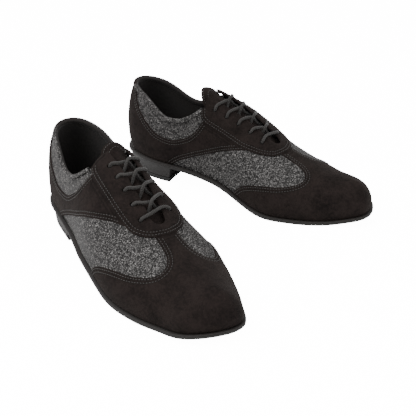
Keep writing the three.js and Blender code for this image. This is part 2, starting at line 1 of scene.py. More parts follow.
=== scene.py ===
"""The looks of a pair of low-heeled lace-up dance shoes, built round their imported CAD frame.

One shoe is described heel to toe along +X in millimetres, with its outer (lateral) side at +Y. SHOES says how
each of the two is mirrored, turned and moved into the frame of the pair, in metres. The upper is one moulded
surface, and a place on it is (u, h): u runs round the shoe, 0 at the heel and 1 at the toe, below 0 on the
medial side; h runs up from 0 at the feather line, where upper meets sole, to 1 at the ridge over the instep.
"""

import functools
import math

import bpy
import numpy as np
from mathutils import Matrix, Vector
from mathutils.geometry import delaunay_2d_cdt
from mathutils.kdtree import KDTree


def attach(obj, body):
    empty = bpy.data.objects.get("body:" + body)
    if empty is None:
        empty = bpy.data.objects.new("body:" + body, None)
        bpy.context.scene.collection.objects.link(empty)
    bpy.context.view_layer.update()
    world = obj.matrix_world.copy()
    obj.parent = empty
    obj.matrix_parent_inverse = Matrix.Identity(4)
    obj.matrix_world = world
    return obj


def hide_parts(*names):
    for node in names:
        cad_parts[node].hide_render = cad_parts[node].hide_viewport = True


bl_info = {
    "name": "Dance Shoe Looks",
    "version": (1, 0, 0),
    "blender": (4, 5, 0),
    "location": "View3D > Sidebar > Shoes",
    "description": "Builds the visible pieces, materials and stage of a pair of lace-up dance shoes",
    "category": "Object",
}

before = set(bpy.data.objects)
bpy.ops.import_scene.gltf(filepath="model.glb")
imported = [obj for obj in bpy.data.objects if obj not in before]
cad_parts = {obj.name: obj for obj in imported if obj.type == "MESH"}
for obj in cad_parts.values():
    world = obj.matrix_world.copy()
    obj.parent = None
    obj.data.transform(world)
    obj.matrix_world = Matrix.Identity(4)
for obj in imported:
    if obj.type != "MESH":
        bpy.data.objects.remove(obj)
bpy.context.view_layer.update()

LATERAL, MEDIAL = 1, -1

# ---------- driving sizes, in millimetres ----------
LENGTH = 268
BALL_WIDTH = 98
UPPER_HEIGHT = 88
HEEL_PITCH = 20.5
TOE_SPRING = 7.5
SOLE_THICKNESS = 3.7
HEEL_LENGTH = 64
TOP_PIECE = 5
REST_GAP = 0.3             # between CAD pieces that touch
EYESTAY_TOP = 0.35         # outer face of each layer over the moulded surface
OVERLAY_TOP = -0.45
PANEL_TOP = -1.35
LEATHER = 1.2
TUCK_UNDER = 5.0           # how far a glitter panel runs on under its overlays
LINING_DEPTH = 3.3
LINING_THICKNESS = 0.8
WALL_DEPTH = LINING_DEPTH + LINING_THICKNESS
FLOOR_LIFT = 6.6           # top of the sock over the feather line
SOCK_INSET = WALL_DEPTH + 2.4
LACE_DIAMETER = 2.8
LACE_LIFT = 1.6            # centre of the lace above and below the facing
LACE_DROP = -4.1
EYELET_ROWS = 5
EYELET_REACH = 14.5
EYELET_SKEW = 3
EYELET_RADIUS = 2.0
TONGUE_DEPTH = 5.85
TONGUE_THICKNESS = 2.6
TOE_SHIFT = -5.4           # the toe leans to the medial side
HEEL_SHIFT = 5.5           # and the heel to the lateral side
HEEL_RADIUS = 30
TOE_RADIUS = 29
FACING_FRONT = 0.672 * LENGTH
THROAT = 0.392 * LENGTH
FIRST_ROW = FACING_FRONT - 18
LAST_ROW = THROAT + 6
ROW_PITCH = (FIRST_ROW - LAST_ROW) / (EYELET_ROWS - 1)
GAP_FRONT = FACING_FRONT - 9
GAP_BACK = 0.3 * LENGTH
GAP_HALF_WIDTH = (6, 9)    # at GAP_FRONT and at GAP_BACK
SPINE_START = 0.168 * LENGTH
SPINE_END = 0.933 * LENGTH
SPINE_SHIFT = 0.6          # the ridge's share of the sideways lean of the outline
FAR_FROM_SEAM = 20.0       # where a seam no longer shows in the nap
BINDING_END = 0.384        # u where the rolled topline ends, under the facings
BACK_HALF = 0.098          # u up to which the rolled topline is suede, at the heel
BACK_LAP = 0.004           # u that the suede and the glitter share, so no gap shows

# ---------- resolution ----------
MESH_STEP = 2.3            # between the points inside a panel
LINE_STEP = 1.6            # between the points along a cut
EDGE_ROLL = 0.7            # width of the rolled edge of a panel
CHART_STRETCH = 1.7        # how much wider the chart is than the plan

# ---------- seam lines, as (u, h) from the sole or the topline inwards ----------
WING_SEAM = [(0.508, -0.03), (0.532, 0.13), (0.557, 0.24), (0.597, 0.36), (0.645, 0.45), (0.68, 0.55),
             (0.692, 0.66), (0.683, 0.77), (0.657, 0.84), (0.625, 0.872), (0.596, 0.882)]
QUARTER_SEAM = {
    LATERAL: [(0.285, -0.03), (0.318, 0.04), (0.37, 0.14), (0.417, 0.245), (0.455, 0.36), (0.49, 0.48),
              (0.522, 0.61), (0.551, 0.715)],
    MEDIAL: [(0.318, -0.03), (0.35, 0.054), (0.39, 0.135), (0.439, 0.25), (0.49, 0.42), (0.534, 0.607)],
}
COLLAR_SEAM = {
    LATERAL: [(0.085, 0.98), (0.115, 0.66), (0.165, 0.44), (0.225, 0.3), (0.28, 0.225), (0.335, 0.25),
              (0.378, 0.36), (0.398, 0.5), (0.403, 0.695)],
    MEDIAL: [(0.085, 0.98), (0.125, 0.6), (0.175, 0.42), (0.233, 0.3), (0.281, 0.235), (0.325, 0.225),
             (0.362, 0.28), (0.386, 0.37), (0.402, 0.555)],
}
FACING_SEAM = {
    LATERAL: [(0.365, 0.86), (0.382, 0.73), (0.395, 0.685), (0.412, 0.67), (0.47, 0.68), (0.53, 0.695),
              (0.56, 0.715), (0.583, 0.775), (0.598, 0.86), (0.603, 0.95), (0.604, 1)],
    MEDIAL: [(0.368, 0.8), (0.384, 0.63), (0.397, 0.55), (0.415, 0.522), (0.46, 0.52), (0.506, 0.548),
             (0.535, 0.6), (0.567, 0.69), (0.59, 0.79), (0.602, 0.92), (0.604, 1)],
}
HEEL_SEAM = [(-0.15, -0.03), (-0.1, 0.1), (-0.06, 0.23), (-0.025, 0.32), (0, 0.345), (0.025, 0.32),
             (0.06, 0.23), (0.1, 0.1), (0.15, -0.03)]
BACK_SEAM = [(0, 0.3), (0, 0.6), (0, 1)]
LINING_SEAM = [(0.5, -0.03), (0.5, 0.3), (0.5, 0.74)]
SOLE_LINE = -0.012         # h of the lower edge of every panel


# ---------- curves along the shoe ----------
def hermite(stations, values):
    """A smooth curve through values at stations, level past both ends."""
    xs, ys = np.array(stations, float), np.array(values, float)
    gap = np.diff(xs)
    rise = np.diff(ys) / gap
    slope = np.empty(len(xs))
    slope[0], slope[-1] = rise[0], rise[-1]
    slope[1:-1] = (rise[:-1] * gap[1:] + rise[1:] * gap[:-1]) / (gap[:-1] + gap[1:])

    def value(at):
        x = np.clip(at, xs[0], xs[-1])
        i = np.clip(np.searchsorted(xs, x, side="right") - 1, 0, len(xs) - 2)
        step = gap[i]
        t = (x - xs[i]) / step
        start = (1 + 2 * t) * (1 - t) ** 2 * ys[i] + t * (1 - t) ** 2 * step * slope[i]
        return start + t * t * (3 - 2 * t) * ys[i + 1] + t * t * (t - 1) * step * slope[i + 1]

    return value


def along(shares, values):
    return hermite([share * LENGTH for share in shares], values)


pitch_share = along([0, 0.187, 0.336, 0.485, 0.616, 0.746, 0.877, 1], [1, 0.9, 0.8, 0.54, 0.12, 0, 0, 0])
spring_share = along([0, 0.746, 0.877, 1], [0, 0, 0.2, 1])
ridge_share = along([0.168, 0.3, 0.392, 0.485, 0.578, 0.672, 0.765, 0.933],
                    [1, 0.92, 0.88, 0.81, 0.705, 0.55, 0.455, 0.35])
topline_share = along([0, 0.112, 0.231, 0.3, 0.343, 0.396, 0.425],
                      [0.795, 0.7, 0.53, 0.585, 0.69, 0.88, 1.02])
roundness = along([0.168, 0.392, 0.56, 0.84], [0.56, 0.68, 0.9, 1.15])
wall_bulge = along([0.168, 0.392, 0.56, 0.84], [0.09, 0.01, 0.06, 0.02])
WIDTH_STATIONS = np.array([0.056, 0.168, 0.3, 0.43, 0.56, 0.67, 0.765, 0.86, 0.94])
LATERAL_SHARES = np.array([0.305, 0.377, 0.43, 0.5, 0.53, 0.53, 0.475, 0.378, 0.286])
MEDIAL_SHARES = np.array([0.185, 0.28, 0.28, 0.306, 0.414, 0.495, 0.454, 0.372, 0.27])


def smooth(t):
    t = np.clip(t, 0, 1)
    return t * t * (3 - 2 * t)


def feather(x):
    """Height of the feather line over the floor."""
    return SOLE_THICKNESS + REST_GAP + HEEL_PITCH * pitch_share(x) + TOE_SPRING * spring_share(x)


def topline_height(x):
    return feather(x) + UPPER_HEIGHT * topline_share(x)


def centre_shift(x):
    to_toe = smooth((x - 0.52 * LENGTH) / (0.48 * LENGTH))
    return TOE_SHIFT * to_toe + HEEL_SHIFT * (1 - smooth(x / (0.4 * LENGTH)))


def fullness(shares, side):
    """Half-width over the sine of the angle round the shoe, so that both ends come out round."""
    angles = np.arccos(1 - 2 * WIDTH_STATIONS)
    values = (shares * BALL_WIDTH - side * centre_shift(WIDTH_STATIONS * LENGTH)) / np.sin(angles)
    ends = [math.sqrt(radius * LENGTH / 2) for radius in (HEEL_RADIUS, TOE_RADIUS)]
    return hermite([0, *angles, math.pi], [ends[0], *values, ends[1]])


lateral_fullness = fullness(LATERAL_SHARES, LATERAL)
medial_fullness = fullness(MEDIAL_SHARES, MEDIAL)


# ---------- the moulded surface ----------
def outline(u, inset=0.0):
    """The feather line seen from above, moved inwards by inset."""
    u = np.asarray(u, float)
    v = u - 2 * np.round(u / 2)
    angle = math.pi * np.abs(v)
    x = LENGTH * (1 - np.cos(angle)) / 2
    half = np.where(v >= 0, lateral_fullness(angle), -medial_fullness(angle))
    point = np.stack([x, half * np.sin(angle) + centre_shift(x)], -1)
    if np.ndim(inset) == 0 and inset == 0:
        return point
    ahead = outline(u + 0.002) - outline(u - 0.002)
    ahead /= np.linalg.norm(ahead, axis=-1, keepdims=True)
    return point + np.stack([ahead[..., 1], -ahead[..., 0]], -1) * np.asarray(inset)[..., None]


def surface(u, h):
    base = outline(u)
    spine_x = SPINE_START + (SPINE_END - SPINE_START) * base[..., 0] / LENGTH
    spine_y = SPINE_SHIFT * centre_shift(spine_x)
    phi = np.asarray(h, float) * math.pi / 2
    inwards = 1 - np.maximum(0, np.cos(phi)) ** roundness(spine_x) - wall_bulge(spine_x) * np.sin(2 * phi)
    low = feather(base[..., 0])
    high = feather(spine_x) + UPPER_HEIGHT * ridge_share(spine_x)
    return np.stack([
        base[..., 0] + (spine_x - base[..., 0]) * inwards,
        base[..., 1] + (spine_y - base[..., 1]) * inwards,
        low + (high - low) * np.sin(phi),
    ], -1)


def unit(vectors):
    return vectors / np.maximum(np.linalg.norm(vectors, axis=-1, keepdims=True), 1e-12)


def side_normal(u, h, step=0.004):
    h = np.minimum(h, 0.985)
    around = surface(u + step, h) - surface(u - step, h)
    up = surface(u, h + step) - surface(u, h - step)
    return unit(np.cross(up, around))


def normal(u, h):
    """Outward normal; towards the ridge the two sides blend into one."""
    u, h = np.broadcast_arrays(np.asarray(u, float), np.asarray(h, float))
    other = 0.5 * smooth((h - 0.92) / 0.08)[..., None]
    return unit(side_normal(u, h) * (1 - other) + side_normal(-u, h) * other)


def on_upper(u, h, lift=0.0):
    return surface(u, h) + normal(u, h) * np.asarray(lift, float)[..., None]


# ---------- the chart: the upper opened out flat, the ridge in its middle ----------
def chart_frame(u):
    """For each u, the point of the ridge and the arm that runs from it to the feather line."""
    base = outline(u)
    spine_x = SPINE_START + (SPINE_END - SPINE_START) * base[..., 0] / LENGTH
    spine = np.stack([spine_x, SPINE_SHIFT * centre_shift(spine_x)], -1)
    return spine, (base - spine) * CHART_STRETCH


def to_chart(u, h):
    spine, arm = chart_frame(u)
    return spine + arm * (1 - np.asarray(h, float))[..., None]


@functools.cache
def chart_table():
    u = np.linspace(-1, 1, 8001)
    spine, arm = chart_frame(u)
    return u, spine[:, 0], spine[:, 1], arm[:, 0], arm[:, 1]


def chart_side(q):
    """The side of the ridge line, and of its run on past both ends, that chart points lie on."""
    heel, heel_arm = (part[0] for part in chart_frame(np.array([0.0])))
    toe, toe_arm = (part[0] for part in chart_frame(np.array([1.0])))
    ridge = q[:, 1] - SPINE_SHIFT * centre_shift(q[:, 0])
    behind = heel_arm[1] * (q[:, 0] - heel[0]) - heel_arm[0] * (q[:, 1] - heel[1])
    ahead = toe_arm[0] * (q[:, 1] - toe[1]) - toe_arm[1] * (q[:, 0] - toe[0])
    over = np.where(q[:, 0] < heel[0], behind, np.where(q[:, 0] > toe[0], ahead, ridge))
    return np.where(over >= 0, LATERAL, MEDIAL)


def from_chart(q):
    """(u, h) of chart points, by halving along the outline."""
    q = np.asarray(q, float)
    side = chart_side(q)
    low, high = np.zeros(len(q)), np.ones(len(q))
    stations, *columns = chart_table()
    for _ in range(26):
        u = (low + high) / 2
        spine_x, spine_y, arm_x, arm_y = (np.interp(side * u, stations, column) for column in columns)
        off_x, off_y = q[:, 0] - spine_x, q[:, 1] - spine_y
        behind = side * (arm_x * off_y - arm_y * off_x) > 0
        low, high = np.where(behind, low, u), np.where(behind, u, high)
    h = 1 - (off_x * arm_x + off_y * arm_y) / (arm_x * arm_x + arm_y * arm_y)
    return side * u, np.minimum(h, 1)


def chart_point(q):
    return surface(*from_chart(q))


def settle(points, q, rounds=3, step=0.2):
    """Chart points whose places on the upper lie nearest to the given points, starting from q."""
    q = np.array(q, float)
    moves = step * np.eye(2)
    for _ in range(rounds):
        jac = np.stack([(chart_point(q + move) - chart_point(q - move)) / (2 * step) for move in moves], -1)
        miss = points - chart_point(q)
        normal_matrix = np.einsum("nik,nil->nkl", jac, jac) + 1e-6 * np.eye(2)
        q = q + np.linalg.solve(normal_matrix, np.einsum("nik,ni->nk", jac, miss)[..., None])[..., 0]
    return q


def station_over(x, side, h):
    """The station u of the upper, at height share h, that lies over plan position x."""
    start, stop = np.full(h.shape, 0.15), np.full(h.shape, 0.95)
    for _ in range(22):
        u = (start + stop) / 2
        behind = surface(side * u, h)[..., 0] < x
        start, stop = np.where(behind, u, start), np.where(behind, stop, u)
    return u


def place_over(x, reach, rounds=3, tries=257):
    """(u, h) over plan position x, at a signed distance from the ridge line."""
    x, reach = (a[..., None] for a in np.broadcast_arrays(np.asarray(x, float), np.asarray(reach, float)))
    side = np.where(reach >= 0, LATERAL, MEDIAL)
    low, high = np.full(x.shape, 0.3), np.ones(x.shape)
    for _ in range(rounds):
        h = low + (high - low) * np.linspace(0, 1, tries)
        u = station_over(x, side, h)
        off = np.abs(surface(side * u, h)[..., 1] - SPINE_SHIFT * centre_shift(x))
        first = np.clip((off > np.abs(reach)).sum(-1, keepdims=True), 1, tries - 1)
        low, high = (np.take_along_axis(h, first + step, -1) for step in (-1, 0))
    return (side * station_over(x, side, high))[..., 0], high[..., 0]


# ---------- lines on the chart ----------
def spline(points, per_span):
    """A centripetal Catmull-Rom curve through the points."""
    p = np.array(points, float)
    p = np.vstack([2 * p[0] - p[1], p, 2 * p[-1] - p[-2]])
    t = (np.arange(per_span) / per_span)[:, None]
    spans = []
    for p0, p1, p2, p3 in zip(p, p[1:], p[2:], p[3:]):
        spacing = [max(np.linalg.norm(b - a), 1e-9) ** 0.5 for a, b in ((p0, p1), (p1, p2), (p2, p3))]
        before, here, after = spacing
        out = ((p1 - p0) / before - (p2 - p0) / (before + here) + (p2 - p1) / here) * here
        into = ((p2 - p1) / here - (p3 - p1) / (here + after) + (p3 - p2) / after) * here
        square = -3 * p1 + 3 * p2 - 2 * out - into
        cube = 2 * p1 - 2 * p2 + out + into
        spans.append(p1 + t * out + t * t * square + t ** 3 * cube)
    return np.vstack([*spans, p[-2]])


def walked(points):
    """Distance walked along a row of points."""
    return np.concatenate([[0], np.cumsum(np.linalg.norm(np.diff(points, axis=0), axis=1))])


def respaced(line, step, closed=False):
    """The chart line again, with points at even steps over the upper."""
    line = np.asarray(line, float)
    if closed:
        line = np.vstack([line, line[:1]])
    length = walked(chart_point(line))
    count = max(2, int(math.ceil(length[-1] / step)) + 1)
    at = np.linspace(0, length[-1], count)
    line = np.stack([np.interp(at, length, line[:, k]) for k in (0, 1)], -1)
    return line[:-1] if closed else line


def seam(points, side=LATERAL):
    u, h = spline(points, 12).T
    return respaced(to_chart(side * u, np.minimum(h, 1)), LINE_STEP)


def facing_line():
    sides = []
    for side in (LATERAL, MEDIAL):
        u, h = spline(FACING_SEAM[side], 12).T
        sides.append(to_chart(side * u, np.minimum(h, 1)))
    return respaced(np.vstack([sides[0], sides[1][-2::-1]]), LINE_STEP)


def beside(line, distance, closed=False):
    """The line moved over the surface by a distance, to its right as seen from outside."""
    points = chart_point(line)
    if closed:
        ahead = np.roll(points, -1, 0) - np.roll(points, 1, 0)
    else:
        ahead = np.gradient(points, axis=0)
    across = unit(np.cross(unit(ahead), normal(*from_chart(line))))
    return settle(points + across * distance, line)


def carried_on(line, aim=None, by=18.0):
    """The line run straight on past both its ends; past its last point towards aim, if that is given."""
    steps = np.arange(LINE_STEP, by, LINE_STEP)[:, None]
    before = line[0] + unit(line[0] - line[3]) * steps[::-1]
    way = line[-1] - line[-4] if aim is None else aim - line[-1]
    return np.vstack([before, line, line[-1] + unit(way) * steps])


def sole_line():
    u = np.linspace(0, 2, 480, endpoint=False)
    return respaced(to_chart(u, np.full(u.shape, SOLE_LINE)), LINE_STEP, closed=True)


def topline_places(u):
    """h of the topline at each u."""
    low, high = np.zeros(len(u)), np.ones(len(u))
    for _ in range(24):
        h = (low + high) / 2
        point = surface(u, h)
        under = point[:, 2] < topline_height(point[:, 0])
        low, high = np.where(under, h, low), np.where(under, high, h)
    return (low + high) / 2


def mouth_line():
    """The whole topline, closed across the ridge at the throat."""
    u = np.linspace(0, 0.45, 200)
    h = topline_places(u)
    u, h = u[h < 0.9995], h[h < 0.9995]
    medial = topline_places(-u)
    keep = medial < 0.9995
    ring = np.vstack([to_chart(u, h), to_chart(-u[keep], medial[keep])[:0:-1]])
    return respaced(ring, LINE_STEP, closed=True)


def slot_line():
    """The gap between the facings, round in front and open to the mouth."""
    front, back = GAP_HALF_WIDTH
    arc = np.linspace(-math.pi / 2, math.pi / 2, 15)
    x = [GAP_BACK, *(GAP_FRONT - front + front * np.cos(arc)), GAP_BACK]
    y = [-back, *(front * np.sin(arc)), back]
    x, y = respaced_plan(np.array([x, y]).T, LINE_STEP).T
    return to_chart(*place_over(x, y - SPINE_SHIFT * centre_shift(x)))


def respaced_plan(points, step):
    length = walked(points)
    at = np.linspace(0, length[-1], int(length[-1] / step) + 1)
    return np.stack([np.interp(at, length, points[:, k]) for k in (0, 1)], -1)


def eyelet_x(row, side):
    return FIRST_ROW - row * ROW_PITCH - (EYELET_SKEW if side == MEDIAL else 0)


def eyelet_rings():
    rings = []
    for side in (LATERAL, MEDIAL):
        for row in range(EYELET_ROWS):
            u, h = place_over([eyelet_x(row, side)], [side * EYELET_REACH])
            centre, out = surface(u, h)[0], normal(u, h)[0]
            ahead = unit(np.cross(out, [0, 1, 0]))
            across = np.cross(out, ahead)
            turn = np.linspace(0, 2 * math.pi, 14, endpoint=False)[:, None]
            ring = centre + EYELET_RADIUS * (np.cos(turn) * ahead + np.sin(turn) * across)
            rings.append(settle(ring, np.repeat(to_chart(u, h), len(turn), 0)))
    return rings


@functools.cache
def lattice():
    """Chart points spread evenly over the whole upper."""
    rows = []
    for h in np.linspace(0, 1, 42):
        for side in (LATERAL, MEDIAL):
            if side == MEDIAL and h > 0.999:
                continue
            u = side * np.linspace(0, 1, 400)
            length = walked(surface(u, np.full(u.shape, h)))
            count = max(2, int(length[-1] / MESH_STEP))
            at = np.linspace(0, length[-1], count)
            spread = np.interp(at, length, u)
            spread = spread if side == LATERAL else spread[1:-1]
            rows.append(to_chart(spread, np.full(spread.shape, h)))
    q = np.vstack(rows)
    return q, chart_point(q)


def tree_of(points):
    tree = KDTree(len(points))
    for i, point in enumerate(points):
        tree.insert(point, i)
    tree.balance()
    return tree


def distance_to(points, tree):
    return np.array([tree.find(point)[2] for point in points])


def fine(line, closed):
    return chart_point(respaced(line, 0.4, closed))


# ---------- cutting the upper into panels ----------
class Panel:
    """A patch of the upper: its (u, h) places, triangles and the directed edges of its outline."""

    def __init__(self, q, triangles, edges):
        used = np.unique(triangles)
        index = np.full(len(q), -1)
        index[used] = np.arange(len(used))
        self.u, self.h = from_chart(q[used])
        self.triangles = index[triangles]
        self.edges = index[np.array(edges)]
        self.point = surface(self.u, self.h)
        self.normal = normal(self.u, self.h)

    def edge_distance(self):
        a, b = self.point[self.edges[:, 0]], self.point[self.edges[:, 1]]
        steps = np.linspace(0, 1, 5)[:-1, None, None]
        return distance_to(self.point, tree_of((a + (b - a) * steps).reshape(-1, 3)))


def cut(lines, seeds):
    """Cuts the upper along (line, closed) chart lines, and gives the panel that each (u, h) seed lies on."""
    cutters = tree_of(np.vstack([fine(line, closed) for line, closed in lines]))
    points, edges = [], []
    for line, closed in lines:
        first = sum(len(p) for p in points)
        points.append(line)
        edges += [(first + i, first + i + 1) for i in range(len(line) - 1)]
        if closed:
            edges.append((first + len(line) - 1, first))
    for line, closed in lines:
        for way in (-EDGE_ROLL, EDGE_ROLL):
            ring = beside(line, way, closed)
            points.append(ring[distance_to(chart_point(ring), cutters) > 0.8 * EDGE_ROLL])
    grid, grid_points = lattice()
    points.append(grid[distance_to(grid_points, cutters) > EDGE_ROLL + 0.45 * MESH_STEP])
    given = [Vector(p) for p in np.vstack(points)]
    made, made_edges, faces, _, from_edges, _ = delaunay_2d_cdt(given, edges, [], 0, 1e-5)
    q = np.array([(v[0], v[1]) for v in made])
    triangles = np.array([f for f in faces if len(f) == 3])
    walls = {tuple(sorted(e)) for e, source in zip(made_edges, from_edges) if source}
    return {name: grown(q, triangles, walls, to_chart(*seed)) for name, seed in seeds.items()}


def grown(q, triangles, walls, seed):
    """The panel of all triangles reached from the seed without crossing a wall."""
    corners = q[triangles]
    turn = [np.cross(corners[:, (k + 1) % 3] - corners[:, k], seed - corners[:, k]) for k in range(3)]
    inside = np.all(np.array(turn) >= 0, 0) | np.all(np.array(turn) <= 0, 0)
    start = int(np.flatnonzero(inside)[0])
    beside_edge = {}
    for t, tri in enumerate(triangles.tolist()):
        for k in range(3):
            beside_edge.setdefault(tuple(sorted((tri[k], tri[(k + 1) % 3]))), []).append(t)
    reached, waiting, rim = {start}, [start], []
    while waiting:
        t = waiting.pop()
        tri = triangles[t].tolist()
        for k in range(3):
            edge = (tri[k], tri[(k + 1) % 3])
            key = tuple(sorted(edge))
            if key in walls or len(beside_edge[key]) < 2:
                rim.append(edge)
                continue
            for other in beside_edge[key]:
                if other not in reached:
                    reached.add(other)
                    waiting.append(other)
    return Panel(q, triangles[sorted(reached)], rim)


@functools.cache
def borders():
    return [(sole_line(), True), (mouth_line(), True)]


@functools.cache
def seams():
    """Every stitched seam line by name."""
    lines = {"facing": facing_line(), "heel": seam(HEEL_SEAM)}
    for side, word in ((LATERAL, "lateral"), (MEDIAL, "medial")):
        lines[f"{word}_wing"] = seam(WING_SEAM, side)
        lines[f"{word}_quarter"] = seam(QUARTER_SEAM[side], side)
        lines[f"{word}_collar"] = seam(COLLAR_SEAM[side], side)
    return lines


def eyestay_middle():
    return to_chart(0.5, 1)


@functools.cache
def overlays():
    """The suede wing tip and quarters, which end under the eyestay."""
    line = seams()
    under = beside(line["facing"], INWARDS["facing"] * TUCK_UNDER)
    lines = borders() + [(carried_on(under), False), (line["heel"], False), (seam(BACK_SEAM), False)]
    for word in ("lateral", "medial"):
        lines += [(carried_on(line[f"{word}_{name}"], eyestay_middle()), False)
                  for name in ("wing", "quarter", "collar")]
    return cut(lines, {"vamp": (0.85, 0.5), "lateral_quarter": (0.3, 0.12), "medial_quarter": (-0.3, 0.12)})


@functools.cache
def eyestay():
    lines = borders() + [(seams()["facing"], False), (slot_line(), False)]
    lines += [(ring, True) for ring in eyelet_rings()]
    return cut(lines, {"eyestay": (0.5, 0.75)})


@functools.cache
def inlays():
    """The glitter panels, which run on under the suede round them."""
    line = seams()
    lines = borders() + [(slot_line(), False)]
    for name, distance in INWARDS.items():
        aim = None if name in ("facing", "heel") else eyestay_middle()
        lines.append((carried_on(beside(line[name], distance * TUCK_UNDER), aim), False))
    return cut(lines, {
        "heel_back_panel": (0, 0.15),
        "lateral_side_panel": (0.55, 0.4), "medial_side_panel": (-0.55, 0.4),
        "lateral_collar_insert": (0.28, 0.32), "medial_collar_insert": (-0.28, 0.32),
    })


@functools.cache
def linings():
    lines = borders() + [(seams()["facing"], False)]
    lines += [(seam(LINING_SEAM, side), False) for side in (LATERAL, MEDIAL)]
    return cut(lines, {"vamp_lining": (0.85, 0.5), "quarter_lining": (0.2, 0.3)})


# Which side of each seam line its overlay lies on: 1 to the right, seen from outside, as the line runs.
INWARDS = {
    "facing": 1, "heel": 1, "lateral_wing": -1, "medial_wing": 1, "lateral_quarter": 1, "medial_quarter": -1,
    "lateral_collar": -1, "medial_collar": 1,
}


# ---------- the two shoes ----------
class Shoe:
    """One shoe of the pair and its place in the row frame."""

    def __init__(self, name, mirror, turn, place, top_side):
        self.name = name
        self.body = f"{name}_shoe"
        self.tongue_body = f"{name}_tongue"
        self.mirror = mirror
        self.top_side = top_side
        c, s = math.cos(math.radians(turn)), math.sin(math.radians(turn))
        self.turn = np.array([[c, -s * mirror, 0], [s, c * mirror, 0], [0, 0, 1]])
        self.place = np.array([*place, 0])

    def put(self, points):
        return (np.asarray(points, float) @ self.turn.T + self.place) * 0.001


SPLAY = 28.5
HEEL_SPREAD = 105
PAIR_CENTRE = 113.324      # right heel to the middle of the pair's box
HEEL_STAGGER = -33
SHOES = (
    Shoe("right", -1, -SPLAY / 2, (-PAIR_CENTRE, -HEEL_SPREAD / 2), MEDIAL),
    Shoe("left", 1, SPLAY / 2, (-PAIR_CENTRE + HEEL_STAGGER, HEEL_SPREAD / 2), LATERAL),
)


def add_piece(shoe, name, points, faces, material, body=None, stands_for=(), marks=None, uv=None):
    """A mesh piece of one shoe, made of local points, which rides on a body and stands for CAD nodes."""
    faces = [tuple(f) for f in (faces.tolist() if isinstance(faces, np.ndarray) else faces)]
    if shoe.mirror < 0:
        faces = [f[::-1] for f in faces]
    mesh = bpy.data.meshes.new(f"{shoe.name}_{name}")
    mesh.from_pydata(shoe.put(points).tolist(), [], faces)
    for mark, values in (marks or {}).items():
        mesh.attributes.new(mark, "FLOAT", "POINT").data.foreach_set("value", np.asarray(values, np.float32))
    if uv is not None:
        layer = mesh.uv_layers.new(name="UVMap")
        corner = np.zeros(len(mesh.loops), np.int32)
        mesh.loops.foreach_get("vertex_index", corner)
        layer.data.foreach_set("uv", np.asarray(uv, np.float32)[corner].ravel())
    mesh.shade_smooth()
    mesh.set_sharp_from_angle(angle=math.radians(52))
    mesh.materials.append(material)
    piece = bpy.data.objects.new(mesh.name, mesh)
    bpy.context.scene.collection.objects.link(piece)
    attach(piece, body or shoe.body)
    for node in stands_for:
        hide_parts(f"{shoe.name}_{node}")
    return piece


# ---------- mesh builders, in local millimetres ----------
TUCK = 1.3                 # how far the upper curls in where it meets the sole
EDGE_DROP = 0.5            # how far a cut edge is rolled down


@functools.cache
def sheet_of(panel, top, thickness, drop=EDGE_DROP):
    """A closed leather sheet over a panel, with a rolled edge."""
    above_sole = np.maximum(panel.point[:, 2] - feather(panel.point[:, 0]), 0)
    tuck = TUCK * np.exp(-above_sole / 2.2)
    lift = top - drop * (1 - smooth(panel.edge_distance() / EDGE_ROLL)) - tuck
    outer = panel.point + panel.normal * lift[:, None]
    inner = panel.point + panel.normal * (top - thickness - tuck)[:, None]
    n = len(outer)
    a, b = panel.edges.T
    faces = [*panel.triangles.tolist(), *(panel.triangles[:, ::-1] + n).tolist()]
    faces += np.stack([b, a, a + n, b + n], 1).tolist()
    return np.vstack([outer, inner]), faces


def loft(rings, closed_ends=True):
    """Faces over rings of equally many points, each ring closed; the end rings are filled by fans."""
    rows, n = len(rings), len(rings[0])
    points = np.vstack(rings)
    i = np.arange(n)
    faces = []
    for r in range(rows - 1):
        a, b = r * n + i, r * n + (i + 1) % n
        faces += np.stack([a, b, b + n, a + n], 1).tolist()
    if closed_ends:
        for first, way in ((0, -1), ((rows - 1) * n, 1)):
            centre = len(points)
            points = np.vstack([points, points[first:first + n].mean(0)])
            a, b = first + i, first + (i + 1) % n
            fan = np.stack([a, b, np.full(n, centre)], 1)
            faces += (fan if way > 0 else fan[:, ::-1]).tolist()
    return points, faces


def swept(line, radii, sides=10):
    """A round tube along a row of points, with a radius at each, and its uv in (turns, millimetres)."""
    line = np.asarray(line, float)
    radii = np.broadcast_to(radii, len(line))
    ahead = unit(np.gradient(line, axis=0))
    side = np.zeros_like(line)
    side[0] = unit(np.cross(ahead[0], [0.13, 0.2, 0.97]))
    for i in range(1, len(line)):
        turned = side[i - 1] - ahead[i] * (side[i - 1] @ ahead[i])
        side[i] = turned / np.linalg.norm(turned)
    up = np.cross(ahead, side)
    angle = np.linspace(0, 2 * math.pi, sides, endpoint=False)
    rings = [p + r * (np.cos(angle)[:, None] * s + np.sin(angle)[:, None] * t)
             for p, r, s, t in zip(line, radii, side, up)]
    points, faces = loft(rings)
    run = np.repeat(walked(line), sides)
    uv = np.stack([np.tile(np.arange(sides) / sides, len(line)), run], 1)
    uv = np.vstack([uv, [[0.5, 0]], [[0.5, run[-1]]]])
    return points, faces, uv


def grid_sheet(outer, inner):
    """A closed sheet between two equal grids of points."""
    rows, columns = outer.shape[:2]
    index = np.arange(rows * columns).reshape(rows, columns)
    quads = np.stack([index[:-1, :-1], index[1:, :-1], index[1:, 1:], index[:-1, 1:]], -1).reshape(-1, 4)
    rim = np.concatenate([index[:, 0], index[-1, 1:], index[-2::-1, -1], index[0, -2:0:-1]])
    n = rows * columns
    walls = np.stack([np.roll(rim, -1), rim, rim + n, np.roll(rim, -1) + n], 1)
    faces = [*quads.tolist(), *(quads[:, ::-1] + n).tolist(), *walls.tolist()]
    return np.vstack([outer.reshape(-1, 3), inner.reshape(-1, 3)]), faces


THREAD_SIDES = 6


